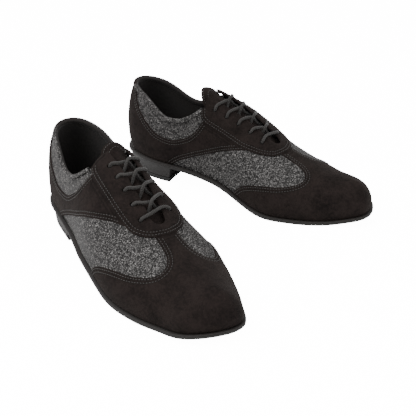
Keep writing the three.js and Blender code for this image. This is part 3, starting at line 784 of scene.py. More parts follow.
def stitches(rows, pitch, radius):
    """Threads laid end to end along rows of (points, normals); each is a short sunk-ended capsule."""
    shape_at = np.array([0.14, 0.26, 0.5, 0.74, 0.86])
    shape_lift = np.array([-0.5, 0.25, 0.5, 0.25, -0.5]) * radius
    shape_radius = np.array([0.45, 0.95, 1.0, 0.95, 0.45]) * radius
    angle = np.linspace(0, 2 * math.pi, THREAD_SIDES, endpoint=False)
    points, faces, offset = [], [], 0
    ring = np.arange(THREAD_SIDES)
    stitch_size = len(shape_at) * THREAD_SIDES
    for line, out in rows:
        length = walked(line)
        count = max(1, int(length[-1] / pitch))
        start = np.arange(count)[:, None] * length[-1] / count
        at = start + shape_at * length[-1] / count
        centre = np.stack([np.interp(at, length, line[:, k]) for k in range(3)], -1)
        above = unit(np.stack([np.interp(at, length, out[:, k]) for k in range(3)], -1))
        ahead = unit(np.gradient(centre, axis=1))
        side = np.cross(ahead, above)
        centre = centre + above * shape_lift[:, None]
        wide = shape_radius[:, None, None]
        body = centre[:, :, None] + wide * (
            np.cos(angle)[:, None] * side[:, :, None] + np.sin(angle)[:, None] * above[:, :, None])
        points.append(body.reshape(-1, 3))
        for r in range(len(shape_at) - 1):
            base = offset + np.arange(count)[:, None] * stitch_size + r * THREAD_SIDES
            a, b = base + ring, base + (ring + 1) % THREAD_SIDES
            faces.append(np.stack([a, b, b + THREAD_SIDES, a + THREAD_SIDES], -1).reshape(-1, 4))
        offset += count * stitch_size
    return np.vstack(points), np.vstack(faces)


# ---------- materials ----------
def node_group(name, inputs, outputs):
    tree = bpy.data.node_groups.new(name, "ShaderNodeTree")
    for label, kind, default in inputs:
        tree.interface.new_socket(label, in_out="INPUT", socket_type=kind).default_value = default
    for label, kind in outputs:
        tree.interface.new_socket(label, in_out="OUTPUT", socket_type=kind)
    return tree, tree.nodes.new("NodeGroupInput"), tree.nodes.new("NodeGroupOutput")


def node(tree, kind, links=(), **values):
    """A new node with its properties and socket values set; links is {input: source socket}."""
    made = tree.nodes.new(kind)
    for key, value in values.items():
        if hasattr(made, key):
            setattr(made, key, value)
    for socket, value in dict(links).items():
        if isinstance(value, bpy.types.NodeSocket):
            tree.links.new(value, made.inputs[socket])
        else:
            made.inputs[socket].default_value = value
    return made


def maths(tree, operation, a, b=0.0, clamp=False):
    made = node(tree, "ShaderNodeMath", {0: a, 1: b}, operation=operation)
    made.use_clamp = clamp
    return made.outputs[0]


def mixed(tree, factor, a, b):
    made = tree.nodes.new("ShaderNodeMix")
    made.data_type = "RGBA"
    for socket, value in ((0, factor), (6, a), (7, b)):
        if isinstance(value, bpy.types.NodeSocket):
            tree.links.new(value, made.inputs[socket])
        else:
            made.inputs[socket].default_value = value
    return made.outputs[2]


def noise(tree, where, scale, detail=3.0, rough=0.55):
    settings = {"Vector": where, "Scale": scale, "Detail": detail, "Roughness": rough}
    return node(tree, "ShaderNodeTexNoise", settings).outputs[0]


@functools.cache
def nap_group():
    """Brushed nap: a two-tone colour, darkened along the sunk rows of stitches as painted shade, and a height
    in millimetres that sinks along those rows.
    """
    tree, given, out = node_group("Brushed nap", [
        ("Dark", "NodeSocketColor", (0, 0, 0, 1)), ("Light", "NodeSocketColor", (1, 1, 1, 1)),
        ("Seam", "NodeSocketFloat", FAR_FROM_SEAM)],
        [("Color", "NodeSocketColor"), ("Height", "NodeSocketFloat")])
    where = tree.nodes.new("ShaderNodeTexCoord").outputs["Object"]
    patches = noise(tree, where, 70, 2)
    brush = noise(tree, where, 420, 3)
    fibres = noise(tree, where, 2400, 2, 0.7)
    tone = maths(tree, "ADD", maths(tree, "MULTIPLY", patches, 0.9), maths(tree, "MULTIPLY", brush, 0.9))
    tone = maths(tree, "ADD", tone, maths(tree, "MULTIPLY", fibres, 0.6))
    tone = maths(tree, "MULTIPLY", maths(tree, "SUBTRACT", tone, 0.8), 1.7, clamp=True)
    rows = None
    for middle in STITCH_ROWS:
        off = maths(tree, "DIVIDE", maths(tree, "SUBTRACT", given.outputs["Seam"], middle), 0.75)
        dip = maths(tree, "POWER", 2.718, maths(tree, "MULTIPLY", maths(tree, "MULTIPLY", off, off), -1.0))
        rows = dip if rows is None else maths(tree, "ADD", rows, dip)
    dark = mixed(tree, tone, given.outputs["Dark"], given.outputs["Light"])
    # painted shade: the nap is darkened towards Dark along the rows of stitches, where the sunk channels fall
    # in shade
    stitch_channel_shade = mixed(tree, maths(tree, "MULTIPLY", rows, 0.45, clamp=True), dark, given.outputs["Dark"])
    height = maths(tree, "ADD", maths(tree, "MULTIPLY", fibres, 0.16), maths(tree, "MULTIPLY", brush, 0.2))
    height = maths(tree, "SUBTRACT", height, maths(tree, "MULTIPLY", rows, 0.4))
    tree.links.new(stitch_channel_shade, out.inputs["Color"])
    tree.links.new(height, out.inputs["Height"])
    return tree


@functools.cache
def flakes_group():
    """Glitter cloth: flat flakes of many tilts and brightnesses on a dark ground."""
    tree, given, out = node_group("Glitter flakes", [
        ("Dark", "NodeSocketColor", (0, 0, 0, 1)), ("Bright", "NodeSocketColor", (1, 1, 1, 1)),
        ("Scale", "NodeSocketFloat", 1000.0)],
        [("Color", "NodeSocketColor"), ("Normal", "NodeSocketVector"), ("Metallic", "NodeSocketFloat")])
    where = tree.nodes.new("ShaderNodeTexCoord").outputs["Object"]
    cells = node(tree, "ShaderNodeTexVoronoi", {"Vector": where, "Scale": given.outputs["Scale"]})
    pick = node(tree, "ShaderNodeSeparateColor", {0: cells.outputs["Color"]})
    clumps = noise(tree, where, 380, 2)
    shine = maths(tree, "POWER", pick.outputs[0], 3.2)
    shine = maths(tree, "MULTIPLY", shine, maths(tree, "ADD", clumps, 0.45), clamp=True)
    gap = maths(tree, "LESS_THAN", cells.outputs["Distance"], 0.62)
    shine = maths(tree, "MULTIPLY", shine, gap)
    tree.links.new(mixed(tree, shine, given.outputs["Dark"], given.outputs["Bright"]), out.inputs["Color"])
    middle = (0.5, 0.5, 0.5)
    tilt = node(tree, "ShaderNodeVectorMath", {0: cells.outputs["Color"], 1: middle}, operation="SUBTRACT")
    tilt = node(tree, "ShaderNodeVectorMath", {0: tilt.outputs[0], "Scale": 0.8}, operation="SCALE")
    facing = tree.nodes.new("ShaderNodeNewGeometry").outputs["Normal"]
    leant = node(tree, "ShaderNodeVectorMath", {0: facing, 1: tilt.outputs[0]}, operation="ADD")
    leant = node(tree, "ShaderNodeVectorMath", {0: leant.outputs[0]}, operation="NORMALIZE")
    tree.links.new(leant.outputs[0], out.inputs["Normal"])
    tree.links.new(maths(tree, "MULTIPLY", shine, 0.3), out.inputs["Metallic"])
    return tree


@functools.cache
def weave_group():
    """A fine over-and-under weave in uv or object space, in two tones."""
    tree, given, out = node_group("Fine weave", [
        ("Vector", "NodeSocketVector", (0, 0, 0)), ("Across", "NodeSocketFloat", 1.0),
        ("Along", "NodeSocketFloat", 1.0), ("Dark", "NodeSocketColor", (0, 0, 0, 1)),
        ("Light", "NodeSocketColor", (1, 1, 1, 1))],
        [("Color", "NodeSocketColor"), ("Height", "NodeSocketFloat")])
    axis = node(tree, "ShaderNodeSeparateXYZ", {0: given.outputs["Vector"]})
    a = maths(tree, "MULTIPLY", axis.outputs[0], given.outputs["Across"])
    b = maths(tree, "MULTIPLY", axis.outputs[1], given.outputs["Along"])
    one = maths(tree, "SINE", maths(tree, "ADD", a, b))
    two = maths(tree, "SINE", maths(tree, "SUBTRACT", a, b))
    height = maths(tree, "ADD", maths(tree, "MULTIPLY", maths(tree, "MULTIPLY", one, two), 0.5), 0.5)
    fuzz = noise(tree, given.outputs["Vector"], 900, 2)
    tone = maths(tree, "MULTIPLY", maths(tree, "ADD", height, fuzz), 0.55, clamp=True)
    tree.links.new(mixed(tree, tone, given.outputs["Dark"], given.outputs["Light"]), out.inputs["Color"])
    tree.links.new(height, out.inputs["Height"])
    return tree


@functools.cache
def grain_group():
    """Grain, streaks and small scuffs for soles, heels, board and metal."""
    tree, given, out = node_group("Grain", [
        ("Dark", "NodeSocketColor", (0, 0, 0, 1)), ("Light", "NodeSocketColor", (1, 1, 1, 1)),
        ("Scale", "NodeSocketFloat", 300.0), ("Layers", "NodeSocketFloat", 0.0)],
        [("Color", "NodeSocketColor"), ("Roughness", "NodeSocketFloat"), ("Height", "NodeSocketFloat")])
    where = tree.nodes.new("ShaderNodeTexCoord").outputs["Object"]
    axis = node(tree, "ShaderNodeSeparateXYZ", {0: where})
    bands = maths(tree, "SINE", maths(tree, "MULTIPLY", axis.outputs[2], given.outputs["Layers"]))
    bands = maths(tree, "GREATER_THAN", bands, 0.86)
    grain = noise(tree, where, given.outputs["Scale"], 5, 0.65)
    scuffs = noise(tree, where, 45, 4)
    tone = maths(tree, "ADD", maths(tree, "MULTIPLY", grain, 0.7), maths(tree, "MULTIPLY", scuffs, 0.5))
    tone = maths(tree, "SUBTRACT", tone, maths(tree, "MULTIPLY", bands, 0.35), clamp=True)
    tree.links.new(mixed(tree, tone, given.outputs["Dark"], given.outputs["Light"]), out.inputs["Color"])
    rough = maths(tree, "ADD", maths(tree, "MULTIPLY", grain, 0.35), 0.42)
    tree.links.new(rough, out.inputs["Roughness"])
    height = maths(tree, "SUBTRACT", grain, maths(tree, "MULTIPLY", bands, 0.8))
    tree.links.new(height, out.inputs["Height"])
    return tree


def material(name, group, inputs, wires, shader, bump=None):
    """A Principled material painted by a group: wires maps its outputs, shader sets the constant sockets."""
    made = bpy.data.materials.new(name)
    made.use_nodes = True
    tree = made.node_tree
    principled = tree.nodes["Principled BSDF"]
    for socket, value in shader.items():
        principled.inputs[socket].default_value = value
    paint = tree.nodes.new("ShaderNodeGroup")
    paint.node_tree = group
    for socket, value in inputs.items():
        if isinstance(value, str):
            kind, label = value.split(":")
            if kind == "mark":
                source = node(tree, "ShaderNodeAttribute", attribute_name=label).outputs["Fac"]
            else:
                source = tree.nodes.new("ShaderNodeTexCoord").outputs[label]
            tree.links.new(source, paint.inputs[socket])
        else:
            paint.inputs[socket].default_value = value
    for output, socket in wires.items():
        tree.links.new(paint.outputs[output], principled.inputs[socket])
    if bump:
        strength, distance = bump
        settings = {"Height": paint.outputs["Height"], "Strength": strength, "Distance": distance}
        raised = node(tree, "ShaderNodeBump", settings)
        tree.links.new(raised.outputs[0], principled.inputs["Normal"])
    return made


STITCH_ROWS = (1.7, 4.4)   # from the overlay's edge to each row of stitches
STITCH_PITCH = 2.6
THREAD_RADIUS = 0.36


def tones(dark, light, **others):
    """The two tones of a finish, and what else its group is given."""
    return {"Dark": (*dark, 1), "Light": (*light, 1), **others}


PLAIN = {"Color": "Base Color"}
GRAINED = {"Color": "Base Color", "Roughness": "Roughness"}

# name: (label, group, what the group is given, its wires, constant sockets, bump strength and distance)
FINISHES = {
    "suede": (
        "Suede", nap_group, tones((0.0034, 0.0026, 0.0024), (0.0138, 0.01, 0.009), Seam="mark:seam"), PLAIN,
        {"Roughness": 0.95, "Specular IOR Level": 0.08, "Sheen Weight": 0.03, "Sheen Roughness": 0.45,
         "Sheen Tint": (0.75, 0.65, 0.6, 1)}, (0.9, 0.001)),
    "glitter": (
        "Glitter", flakes_group,
        {"Dark": (0.009, 0.0084, 0.0082, 1), "Bright": (0.245, 0.235, 0.23, 1), "Scale": 1500.0},
        {"Color": "Base Color", "Normal": "Normal", "Metallic": "Metallic"},
        {"Roughness": 0.6, "Specular IOR Level": 0.12}, None),
    "lining": (
        "Lining", weave_group,
        tones((0.006, 0.005, 0.005), (0.016, 0.0135, 0.0125), Vector="uvw:Object", Across=5200.0,
              Along=5200.0),
        PLAIN, {"Roughness": 0.9, "Specular IOR Level": 0.2, "Sheen Weight": 0.05}, (0.35, 0.0002)),
    "sock": (
        "Sock", nap_group, tones((0.006, 0.005, 0.005), (0.017, 0.014, 0.013)), PLAIN,
        {"Roughness": 0.85, "Specular IOR Level": 0.25}, (0.5, 0.0006)),
    "lace": (
        "Lace", weave_group,
        tones((0.009, 0.0082, 0.0077), (0.03, 0.0275, 0.0255), Vector="uvw:UV", Across=18.85, Along=2.1),
        PLAIN,
        {"Roughness": 0.75, "Specular IOR Level": 0.3, "Sheen Weight": 0.12, "Sheen Roughness": 0.4},
        (0.8, 0.0004)),
    "thread": (
        "Thread", weave_group,
        tones((0.01, 0.0088, 0.0082), (0.034, 0.03, 0.0275), Vector="uvw:Object", Across=9000.0,
              Along=9000.0),
        PLAIN, {"Roughness": 0.6, "Specular IOR Level": 0.4}, (0.3, 0.0001)),
    "sole": (
        "Sole leather", grain_group, tones((0.0035, 0.003, 0.0028), (0.015, 0.0125, 0.0115), Scale=700.0),
        GRAINED, {"Specular IOR Level": 0.3}, (0.4, 0.0003)),
    "heel": (
        "Heel", grain_group,
        tones((0.0035, 0.003, 0.0028), (0.014, 0.0115, 0.0105), Scale=500.0, Layers=1900.0),
        GRAINED, {"Specular IOR Level": 0.35}, (0.35, 0.0003)),
    "top_piece": (
        "Rubber", grain_group, tones((0.003, 0.003, 0.003), (0.012, 0.0115, 0.011), Scale=1400.0),
        GRAINED, {"Specular IOR Level": 0.3}, (0.3, 0.0002)),
    "board": (
        "Fibreboard", grain_group, tones((0.22, 0.14, 0.08), (0.46, 0.33, 0.2), Scale=900.0),
        GRAINED, {}, (0.4, 0.0002)),
    "filler": (
        "Cork filler", grain_group, tones((0.12, 0.06, 0.03), (0.42, 0.26, 0.14), Scale=420.0),
        GRAINED, {}, (0.6, 0.0004)),
    "stiffener": (
        "Stiffener", grain_group, tones((0.17, 0.15, 0.12), (0.36, 0.33, 0.28), Scale=600.0),
        GRAINED, {}, (0.3, 0.0002)),
    "steel": (
        "Steel", grain_group, tones((0.3, 0.3, 0.31), (0.62, 0.63, 0.65), Scale=1500.0),
        GRAINED, {"Metallic": 1.0}, (0.1, 0.0001)),
    "aglet": (
        "Aglet", grain_group, tones((0.008, 0.008, 0.008), (0.03, 0.03, 0.03), Scale=800.0),
        PLAIN, {"Roughness": 0.25, "Coat Weight": 0.3}, (0.1, 0.0001)),
}


@functools.cache
def looks(name):
    """The material of a finish, made once."""
    label, group, given, wires, shader, bump = FINISHES[name]
    return material(label, group(), given, wires, shader, bump)


# ---------- the pieces ----------
@functools.cache
def seam_distance(panel):
    """Millimetres from each place of a panel to the nearest stitched seam, for the sunk rows of stitches and
    the painted shade in them.
    """
    tree = tree_of(np.vstack([fine(line, False) for line in seams().values()]))
    return np.minimum(distance_to(panel.point, tree), FAR_FROM_SEAM)


def build_panels(shoe, panels, top, look):
    for name, panel in panels.items():
        points, faces = sheet_of(panel, top, LEATHER)
        marks = {"seam": np.tile(seam_distance(panel), 2)} if look == "suede" else None
        add_piece(shoe, f"{name}_{look}", points, faces, looks(look), stands_for=[name],
                  marks=marks)


@functools.cache
def thread_rows():
    """Every row of stitches as (points, normals): two along each seam, on the overlay's side."""
    rows = []
    for name, line in seams().items():
        for distance in STITCH_ROWS:
            row = beside(line, INWARDS[name] * distance)
            u, h = from_chart(row)
            keep = (h > 0.015) & (surface(u, h)[:, 2] < topline_height(surface(u, h)[:, 0]) - 1.0)
            if name != "facing":
                keep &= distance_to(surface(u, h), eyestay_tree()) > LEATHER
            u, h = u[keep], h[keep]
            if len(u) > 3:
                top = EYESTAY_TOP if name == "facing" else OVERLAY_TOP
                rows.append((on_upper(u, h, np.full(u.shape, top)), normal(u, h)))
    return rows


@functools.cache
def eyestay_tree():
    return tree_of(eyestay()["eyestay"].point)


@functools.cache
def topline_frames():
    """Points of the topline from facing to facing round the heel, with the outward and upward directions."""
    u = np.linspace(BINDING_END, -BINDING_END, 260)
    h = topline_places(u)
    point, out = surface(u, h), normal(u, h)
    ahead = unit(np.gradient(point, axis=0))
    up = unit(np.cross(ahead, out))
    up = np.where(up[:, 2:] < 0, -up, up)
    return u, point, out, up


def binding_profiles():
    """The rolled edge in section, as (outwards, upwards): from outside to top, and from top to inside."""
    half = 0.5 * WALL_DEPTH + 0.35
    over = [(0.4 - half + half * math.cos(t), 0.5 + 1.7 * math.sin(t)) for t in np.linspace(0, math.pi, 9)]
    outside = [(-1.2, -1.7), (0.0, -1.9), (0.3, -1.0), *over[:5]]
    inside = [*over[4:], (-WALL_DEPTH - 0.25, -2.6), (-WALL_DEPTH + 0.1, -3.0), (-2.6, -1.2), (-1.25, -1.65)]
    return np.array(outside), np.array(inside)


def build_binding(shoe):
    u, point, out, up = topline_frames()
    glitter_from = BACK_HALF - BACK_LAP
    outside, inside = binding_profiles()
    pieces = [("back", np.abs(u) < BACK_HALF, outside, "suede"),
              ("lateral", u >= glitter_from, outside, "glitter"),
              ("medial", u <= -glitter_from, outside, "glitter"), ("inside", np.abs(u) < 1, inside, "lining")]
    for zone, where, profile, look in pieces:
        rings = [point[k] + profile[:, :1] * out[k] + profile[:, 1:] * up[k] for k in np.flatnonzero(where)]
        points, faces = loft(rings)
        marks = {"seam": np.full(len(points), FAR_FROM_SEAM)} if look == "suede" else None
        add_piece(shoe, f"topline_binding_{zone}", points, faces, looks(look),
                  stands_for=["topline_binding"], marks=marks)


TONGUE_BACK = THROAT - 18
TONGUE_HALF = 18.0         # half width of the tongue, in plan
TONGUE_ROUND = 0.8         # share of the tongue's length where its end starts to round off
TONGUE_CURL = 4.5          # how far the free end stands up past the facings
TONGUE_ROWS = (0.88, 0.6)  # shares of the half width where the tongue is stitched


def tongue_x(a):
    return FACING_FRONT - 4 + (TONGUE_BACK - FACING_FRONT + 4) * a


def tongue_round(a):
    """Share of the full width that is left at each share of the tongue's length."""
    past = np.maximum(a - TONGUE_ROUND, 0) / (1 - TONGUE_ROUND)
    return np.sqrt(np.maximum(0.04, 1 - past ** 2))


def tongue_sheet(a, reach, depth):
    """Points of the tongue and their normals; reach is a share of the half width, depth is from its face."""
    x = tongue_x(a)
    u, h = place_over(x, reach * TONGUE_HALF, rounds=5, tries=17)
    to_edge = np.minimum(1 - np.abs(reach) / tongue_round(a), 6 * (1 - a))
    pad = 0.9 * np.sqrt(np.clip(to_edge, 0, 1)) * smooth(a / 0.1)
    curl = TONGUE_CURL * smooth((THROAT - x) / 16)
    return on_upper(u, h, -TONGUE_DEPTH + curl + np.where(depth > 0, -depth - 0.5 * pad, pad)), normal(u, h)


@functools.cache
def tongue_flap():
    a = np.concatenate([np.linspace(0, 0.78, 40), 0.8 + 0.2 * np.sin(np.linspace(0, math.pi / 2, 22))])
    a, across = np.meshgrid(a, np.linspace(-1, 1, 45), indexing="ij")
    outer, _ = tongue_sheet(a, across * tongue_round(a), 0)
    inner, _ = tongue_sheet(a, across * tongue_round(a), TONGUE_THICKNESS - 0.4)
    return grid_sheet(outer, inner)


@functools.cache
def tongue_rows():
    rows = []
    for share in TONGUE_ROWS:
        turn = np.linspace(0, math.pi, 90)
        straight = np.linspace(0.45, TONGUE_ROUND, 20)[:-1]
        arc = TONGUE_ROUND + (1 - TONGUE_ROUND) * share * np.sin(turn)
        a = np.concatenate([straight, arc, straight[::-1]])
        reach = share * np.concatenate([np.ones(19), np.cos(turn), -np.ones(19)])
        rows.append(tongue_sheet(a, reach, 0))
    return rows


def build_tongue(shoe, pitch, radius):
    points, faces = tongue_flap()
    flap = add_piece(shoe, "tongue_flap", points, faces, looks("suede"), body=shoe.tongue_body,
                     stands_for=["tongue"], marks={"seam": np.full(len(points), FAR_FROM_SEAM)})
    points, faces = stitches(tongue_rows(), pitch, radius)
    add_piece(shoe, "tongue_stitching", points, faces, looks("thread"), body=shoe.tongue_body)


# ---------- the lace ----------
def over_facing(x, reach, side, lift):
    u, h = place_over([x], [side * abs(reach)])
    return on_upper(u, h, np.array([lift]))[0]


def gap_edge(x):
    front, back = GAP_HALF_WIDTH
    share = (x - (GAP_FRONT - front)) / (GAP_BACK - (GAP_FRONT - front))
    return front + (back - front) * share


LACE_MIDDLE = (LACE_LIFT + LACE_DROP) / 2
LACE_TURN = (LACE_LIFT - LACE_DROP) / 2
LACE_STEP = 0.9            # between the rings of the lace
BRAID_PITCH = 2.7
BRAID_DEPTH = 0.035        # share of the lace's radius
CAD_LACE_RADIUS = 1.3
TAIL_STATION = 0.405       # u of the tail's way down inside the shoe
TAIL_TURN = 0.43           # u where it starts forward along the sock
TAIL_STEP = 0.038
TAIL_POINTS = 7
TURN_X = 0.8               # how far the lace spreads to each side of an eyelet
LEAN = 0.26                # share of the row pitch by which a strand has leant at the gap's edge


def lace_turn(x, side, lead_in, lead_out):
    """Down through an eyelet and back under the facing."""
    points = []
    for angle in (90, 45, 0, -45, -90):
        t = math.radians(angle)
        lead = (lead_in if angle > 0 else lead_out) * abs(math.sin(t))
        points.append(over_facing(x + lead, EYELET_REACH - LACE_TURN * (1 - math.cos(t)), side,
                                  LACE_MIDDLE + LACE_TURN * math.sin(t)))
    return points


def lace_half(first_side, top_side):
    """From the bar over the first row to the tail inside the shoe."""
    side = first_side
    points = lace_turn(eyelet_x(0, side), side, 0, -TURN_X)
    for row in range(1, EYELET_ROWS):
        leave, arrive = eyelet_x(row - 1, side), eyelet_x(row, -side)
        points.append(over_facing(leave - ROW_PITCH * LEAN, gap_edge(leave) - 1.5, side, LACE_DROP))
        side = -side
        lift = 2.6 if side == top_side else -0.7
        points.append(over_facing((leave + arrive) / 2, 0.01, side, lift))
        points.append(over_facing(arrive + ROW_PITCH * LEAN, gap_edge(arrive) + 0.5, side, LACE_LIFT + 0.1))
        if row < EYELET_ROWS - 1:
            points += lace_turn(eyelet_x(row, side), side, TURN_X, -TURN_X)
    return points + lace_tail(side)


def lace_tail(side):
    """Down through the last eyelet, down the inner wall and forward along the sock."""
    x = eyelet_x(EYELET_ROWS - 1, side)
    points = [
        over_facing(x + TURN_X, EYELET_REACH - LACE_TURN, side, LACE_LIFT),
        over_facing(x + 0.4, EYELET_REACH - 0.7, side, LACE_LIFT - 0.7),
        over_facing(x, EYELET_REACH, side, LACE_MIDDLE),
        over_facing(x - 0.4, EYELET_REACH + 0.7, side, LACE_DROP + 0.7),
        over_facing(x - 1, EYELET_REACH + LACE_TURN, side, LACE_DROP),
    ]
    wall = CAD_LACE_RADIUS + WALL_DEPTH + 4 * REST_GAP
    edge = FACING_SEAM[side][4][1]
    drop = [(edge + 0.055, 0.6 - LACE_DROP), (edge + 0.025, wall), (edge - 0.03, wall + 1),
            (edge - 0.1, wall + 1), (0.38, wall + 1), (0.28, wall + 1), (0.18, wall + 2), (0.11, wall + 4)]
    for h, depth in drop:
        points.append(on_upper(np.array([side * TAIL_STATION]), np.array([h]), np.array([-depth]))[0])
    for i in range(TAIL_POINTS):
        u, inset = TAIL_TURN + TAIL_STEP * i, SOCK_INSET + 7 + 1.5 * i
        place = outline(np.array([side * u]), np.array([inset]))[0]
        points.append(np.array([*place, feather(place[0]) + FLOOR_LIFT + CAD_LACE_RADIUS + 3 * REST_GAP]))
    return points


@functools.cache
def lace_route(top_side):
    halves = [lace_half(side, top_side) for side in (LATERAL, MEDIAL)]
    bar = [over_facing(eyelet_x(0, side), gap_edge(eyelet_x(0, side)) + 1, side, LACE_LIFT + 0.2)
           for side in (LATERAL, MEDIAL)]
    return spline(np.array([*halves[0][::-1], *bar, *halves[1]]), 9)


def build_lace(shoe):
    route = lace_route(shoe.top_side)
    run = walked(route)
    at = np.linspace(0, run[-1], int(run[-1] / LACE_STEP))
    line = np.stack([np.interp(at, run, route[:, k]) for k in range(3)], -1)
    braid = BRAID_DEPTH * np.sin(2 * math.pi * at / BRAID_PITCH)
    points, faces, uv = swept(line, LACE_DIAMETER / 2 * (1 + braid), sides=12)
    add_piece(shoe, "round_lace", points, faces, looks("lace"), stands_for=["lace"], uv=uv)
    return run[-1]


# ---------- the bottom ----------
def ring_at(u, inset, lift):
    place = outline(u, inset)
    return np.column_stack([place, feather(place[:, 0]) + lift])


def inner_ring(u, inset, lift, share):
    """A ring part of the way from the outline to the line under the ridge."""
    edge = outline(u, inset)
    spine, _ = chart_frame(u)
    place = edge + (spine - edge) * share
    return np.column_stack([place, feather(place[:, 0]) + lift])


def build_sole(shoe):
    u = np.linspace(0, 2, 300, endpoint=False)
    top, bottom = -REST_GAP, -REST_GAP - SOLE_THICKNESS
    edge = [(-0.55, 0), (-0.95, -0.25), (-1.0, -0.75), (-0.72, -0.95), (-0.72, -1.1), (-1.0, -1.3),
            (-1.0, -2.9), (-0.75, -3.45), (0.1, -SOLE_THICKNESS)]
    rings = [inner_ring(u, 3, top, share) for share in (1, 0.66, 0.33, 0)]
    rings += [ring_at(u, inset, top + drop) for inset, drop in edge]
    rings += [ring_at(u, 5.0, bottom), ring_at(u, 5.4, bottom + 0.35), ring_at(u, 5.8, bottom)]
    rings += [inner_ring(u, 6, bottom, share) for share in (0.1, 0.33, 0.66, 1)]
    points, faces = loft([ring[::-1] for ring in rings], closed_ends=False)
    add_piece(shoe, "outsole_leather", points, faces, looks("sole"), stands_for=["outsole"])


def heel_ring(level, inset, z):
    """A D-shaped ring of the heel at one level, its front face slightly hollow."""
    length = HEEL_LENGTH - 3 * (1 - level)
    end = math.acos(1 - 2 * length / LENGTH) / math.pi
    back = outline(np.linspace(-end, end, 61), inset)
    across = np.linspace(0, 1, 13)[1:-1, None]
    front = back[-1] + (back[0] - back[-1]) * across
    front[:, 0] -= 2.2 * np.sin(math.pi * across[:, 0])
    ring = np.vstack([back, front])
    return np.column_stack([ring, z(ring[:, 0])])


def build_heel(shoe):
    def seat(x):
        return feather(x) - SOLE_THICKNESS - 2 * REST_GAP

    low = TOP_PIECE + REST_GAP
    rings = [heel_ring(0, 3.5, lambda x: np.full(x.shape, low))]
    for level in np.linspace(0, 1, 12):
        inset = 3.0 - 2.5 * level + 0.5 * math.sin(math.pi * level)
        rings.append(heel_ring(level, inset, lambda x, t=level: low + 0.25 + (seat(x) - low - 0.25) * t))
    points, faces = loft(rings)
    add_piece(shoe, "heel_block_cover", points, faces, looks("heel"), stands_for=["heel_block"])
    levels = [(4.4, 0.0), (3.75, 0.25), (3.6, 0.8), (3.1, TOP_PIECE - 0.5), (3.15, TOP_PIECE - 0.15),
              (3.6, TOP_PIECE)]
    rings = [heel_ring(0.2 * z / TOP_PIECE, inset, lambda x, z=z: np.full(x.shape, z)) for inset, z in levels]
    points, faces = loft(rings)
    add_piece(shoe, "heel_top_piece_rubber", points, faces, looks("top_piece"), stands_for=["heel_top_piece"])


def build_sock(shoe):
    u = np.linspace(0, 2, 220, endpoint=False)
    inset, low = SOCK_INSET + 0.6, FLOOR_LIFT - 2.8
    rings = [inner_ring(u, inset + 0.6, low, share) for share in (1, 0.5, 0)]
    rings += [ring_at(u, inset, low + 0.5), ring_at(u, inset, FLOOR_LIFT - 0.4),
              ring_at(u, inset + 0.6, FLOOR_LIFT)]
    rings += [inner_ring(u, inset + 2.5, FLOOR_LIFT - 0.15, share) for share in (0, 0.15, 0.4, 0.7, 1)]
    points, faces = loft(rings, closed_ends=False)
    cushion = add_piece(shoe, "sock_cushion", points, faces, looks("sock"), stands_for=["sock"],
                        marks={"seam": np.full(len(points), FAR_FROM_SEAM)})


CAD_LOOKS = {
    "insole_board": "board", "shank": "steel", "forepart_filler": "filler", "heel_screw": "steel",
    "aglet_1": "aglet", "aglet_2": "aglet", "toe_puff": "stiffener", "heel_counter": "stiffener",
}


# ---------- the add-on ----------
class ShoeLooks(bpy.types.PropertyGroup):
    """How the shoes are finished."""

    stitch_pitch: bpy.props.FloatProperty(
        name="Stitch pitch", description="Length of one stitch, in millimetres", default=STITCH_PITCH, min=1)
    thread_radius: bpy.props.FloatProperty(
        name="Thread radius", description="Radius of the sewing thread, in millimetres",
        default=THREAD_RADIUS, min=0.1)


class StageLooks(bpy.types.PropertyGroup):
    """Floor, light and camera."""

    lens: bpy.props.FloatProperty(
        name="Lens", description="Focal length on a 36 mm sensor", default=81.18, unit="CAMERA")
    pitch: bpy.props.FloatProperty(name="Camera pitch", description="Angle of the view down from level",
                                   default=math.radians(27.893), subtype="ANGLE")
    heading: bpy.props.FloatProperty(name="Camera heading", description="Turn of the view about the vertical",
                                     default=math.radians(43.421), subtype="ANGLE")
    camera: bpy.props.FloatVectorProperty(name="Camera place", description="Where the camera stands",
                                          default=(0.53426, -0.54934, 0.42229), subtype="TRANSLATION")
    key: bpy.props.FloatProperty(
        name="Key light", description="Power of the large light over the toes", default=26.0, unit="POWER")
    fill: bpy.props.FloatProperty(
        name="Fill light", description="Power of the light from the other side", default=9.0, unit="POWER")
    sky: bpy.props.FloatProperty(name="Sky", description="Strength of the even light all round", default=1.0)


class ShoeOperator:
    """What the operators share: build() is called once for each shoe."""

    bl_options = {"REGISTER", "UNDO"}

    def execute(self, context):
        for shoe in SHOES:
            self.build(shoe, context.scene.shoe_looks)
        return {"FINISHED"}


class SHOE_OT_suede(ShoeOperator, bpy.types.Operator):
    """Builds the suede wing tip, quarters and eyestay"""

    bl_idname = "shoe.suede"
    bl_label = "Suede Panels"

    def build(self, shoe, settings):
        build_panels(shoe, overlays(), OVERLAY_TOP, "suede")
        build_panels(shoe, eyestay(), EYESTAY_TOP, "suede")


class SHOE_OT_glitter(ShoeOperator, bpy.types.Operator):
    """Builds the glitter side panels, collar inserts and heel inset"""

    bl_idname = "shoe.glitter"
    bl_label = "Glitter Panels"

    def build(self, shoe, settings):
        build_panels(shoe, inlays(), PANEL_TOP, "glitter")


class SHOE_OT_lining(ShoeOperator, bpy.types.Operator):
    """Builds the linings and the sock"""

    bl_idname = "shoe.lining"
    bl_label = "Linings and Sock"

    def build(self, shoe, settings):
        for name, panel in linings().items():
            points, faces = sheet_of(panel, -LINING_DEPTH, LINING_THICKNESS, 0.1)
            add_piece(shoe, f"{name}_cloth", points, faces, looks("lining"), stands_for=[name])
        build_sock(shoe)


class SHOE_OT_binding(ShoeOperator, bpy.types.Operator):
    """Builds the rolled topline"""

    bl_idname = "shoe.binding"
    bl_label = "Topline Binding"

    def build(self, shoe, settings):
        build_binding(shoe)


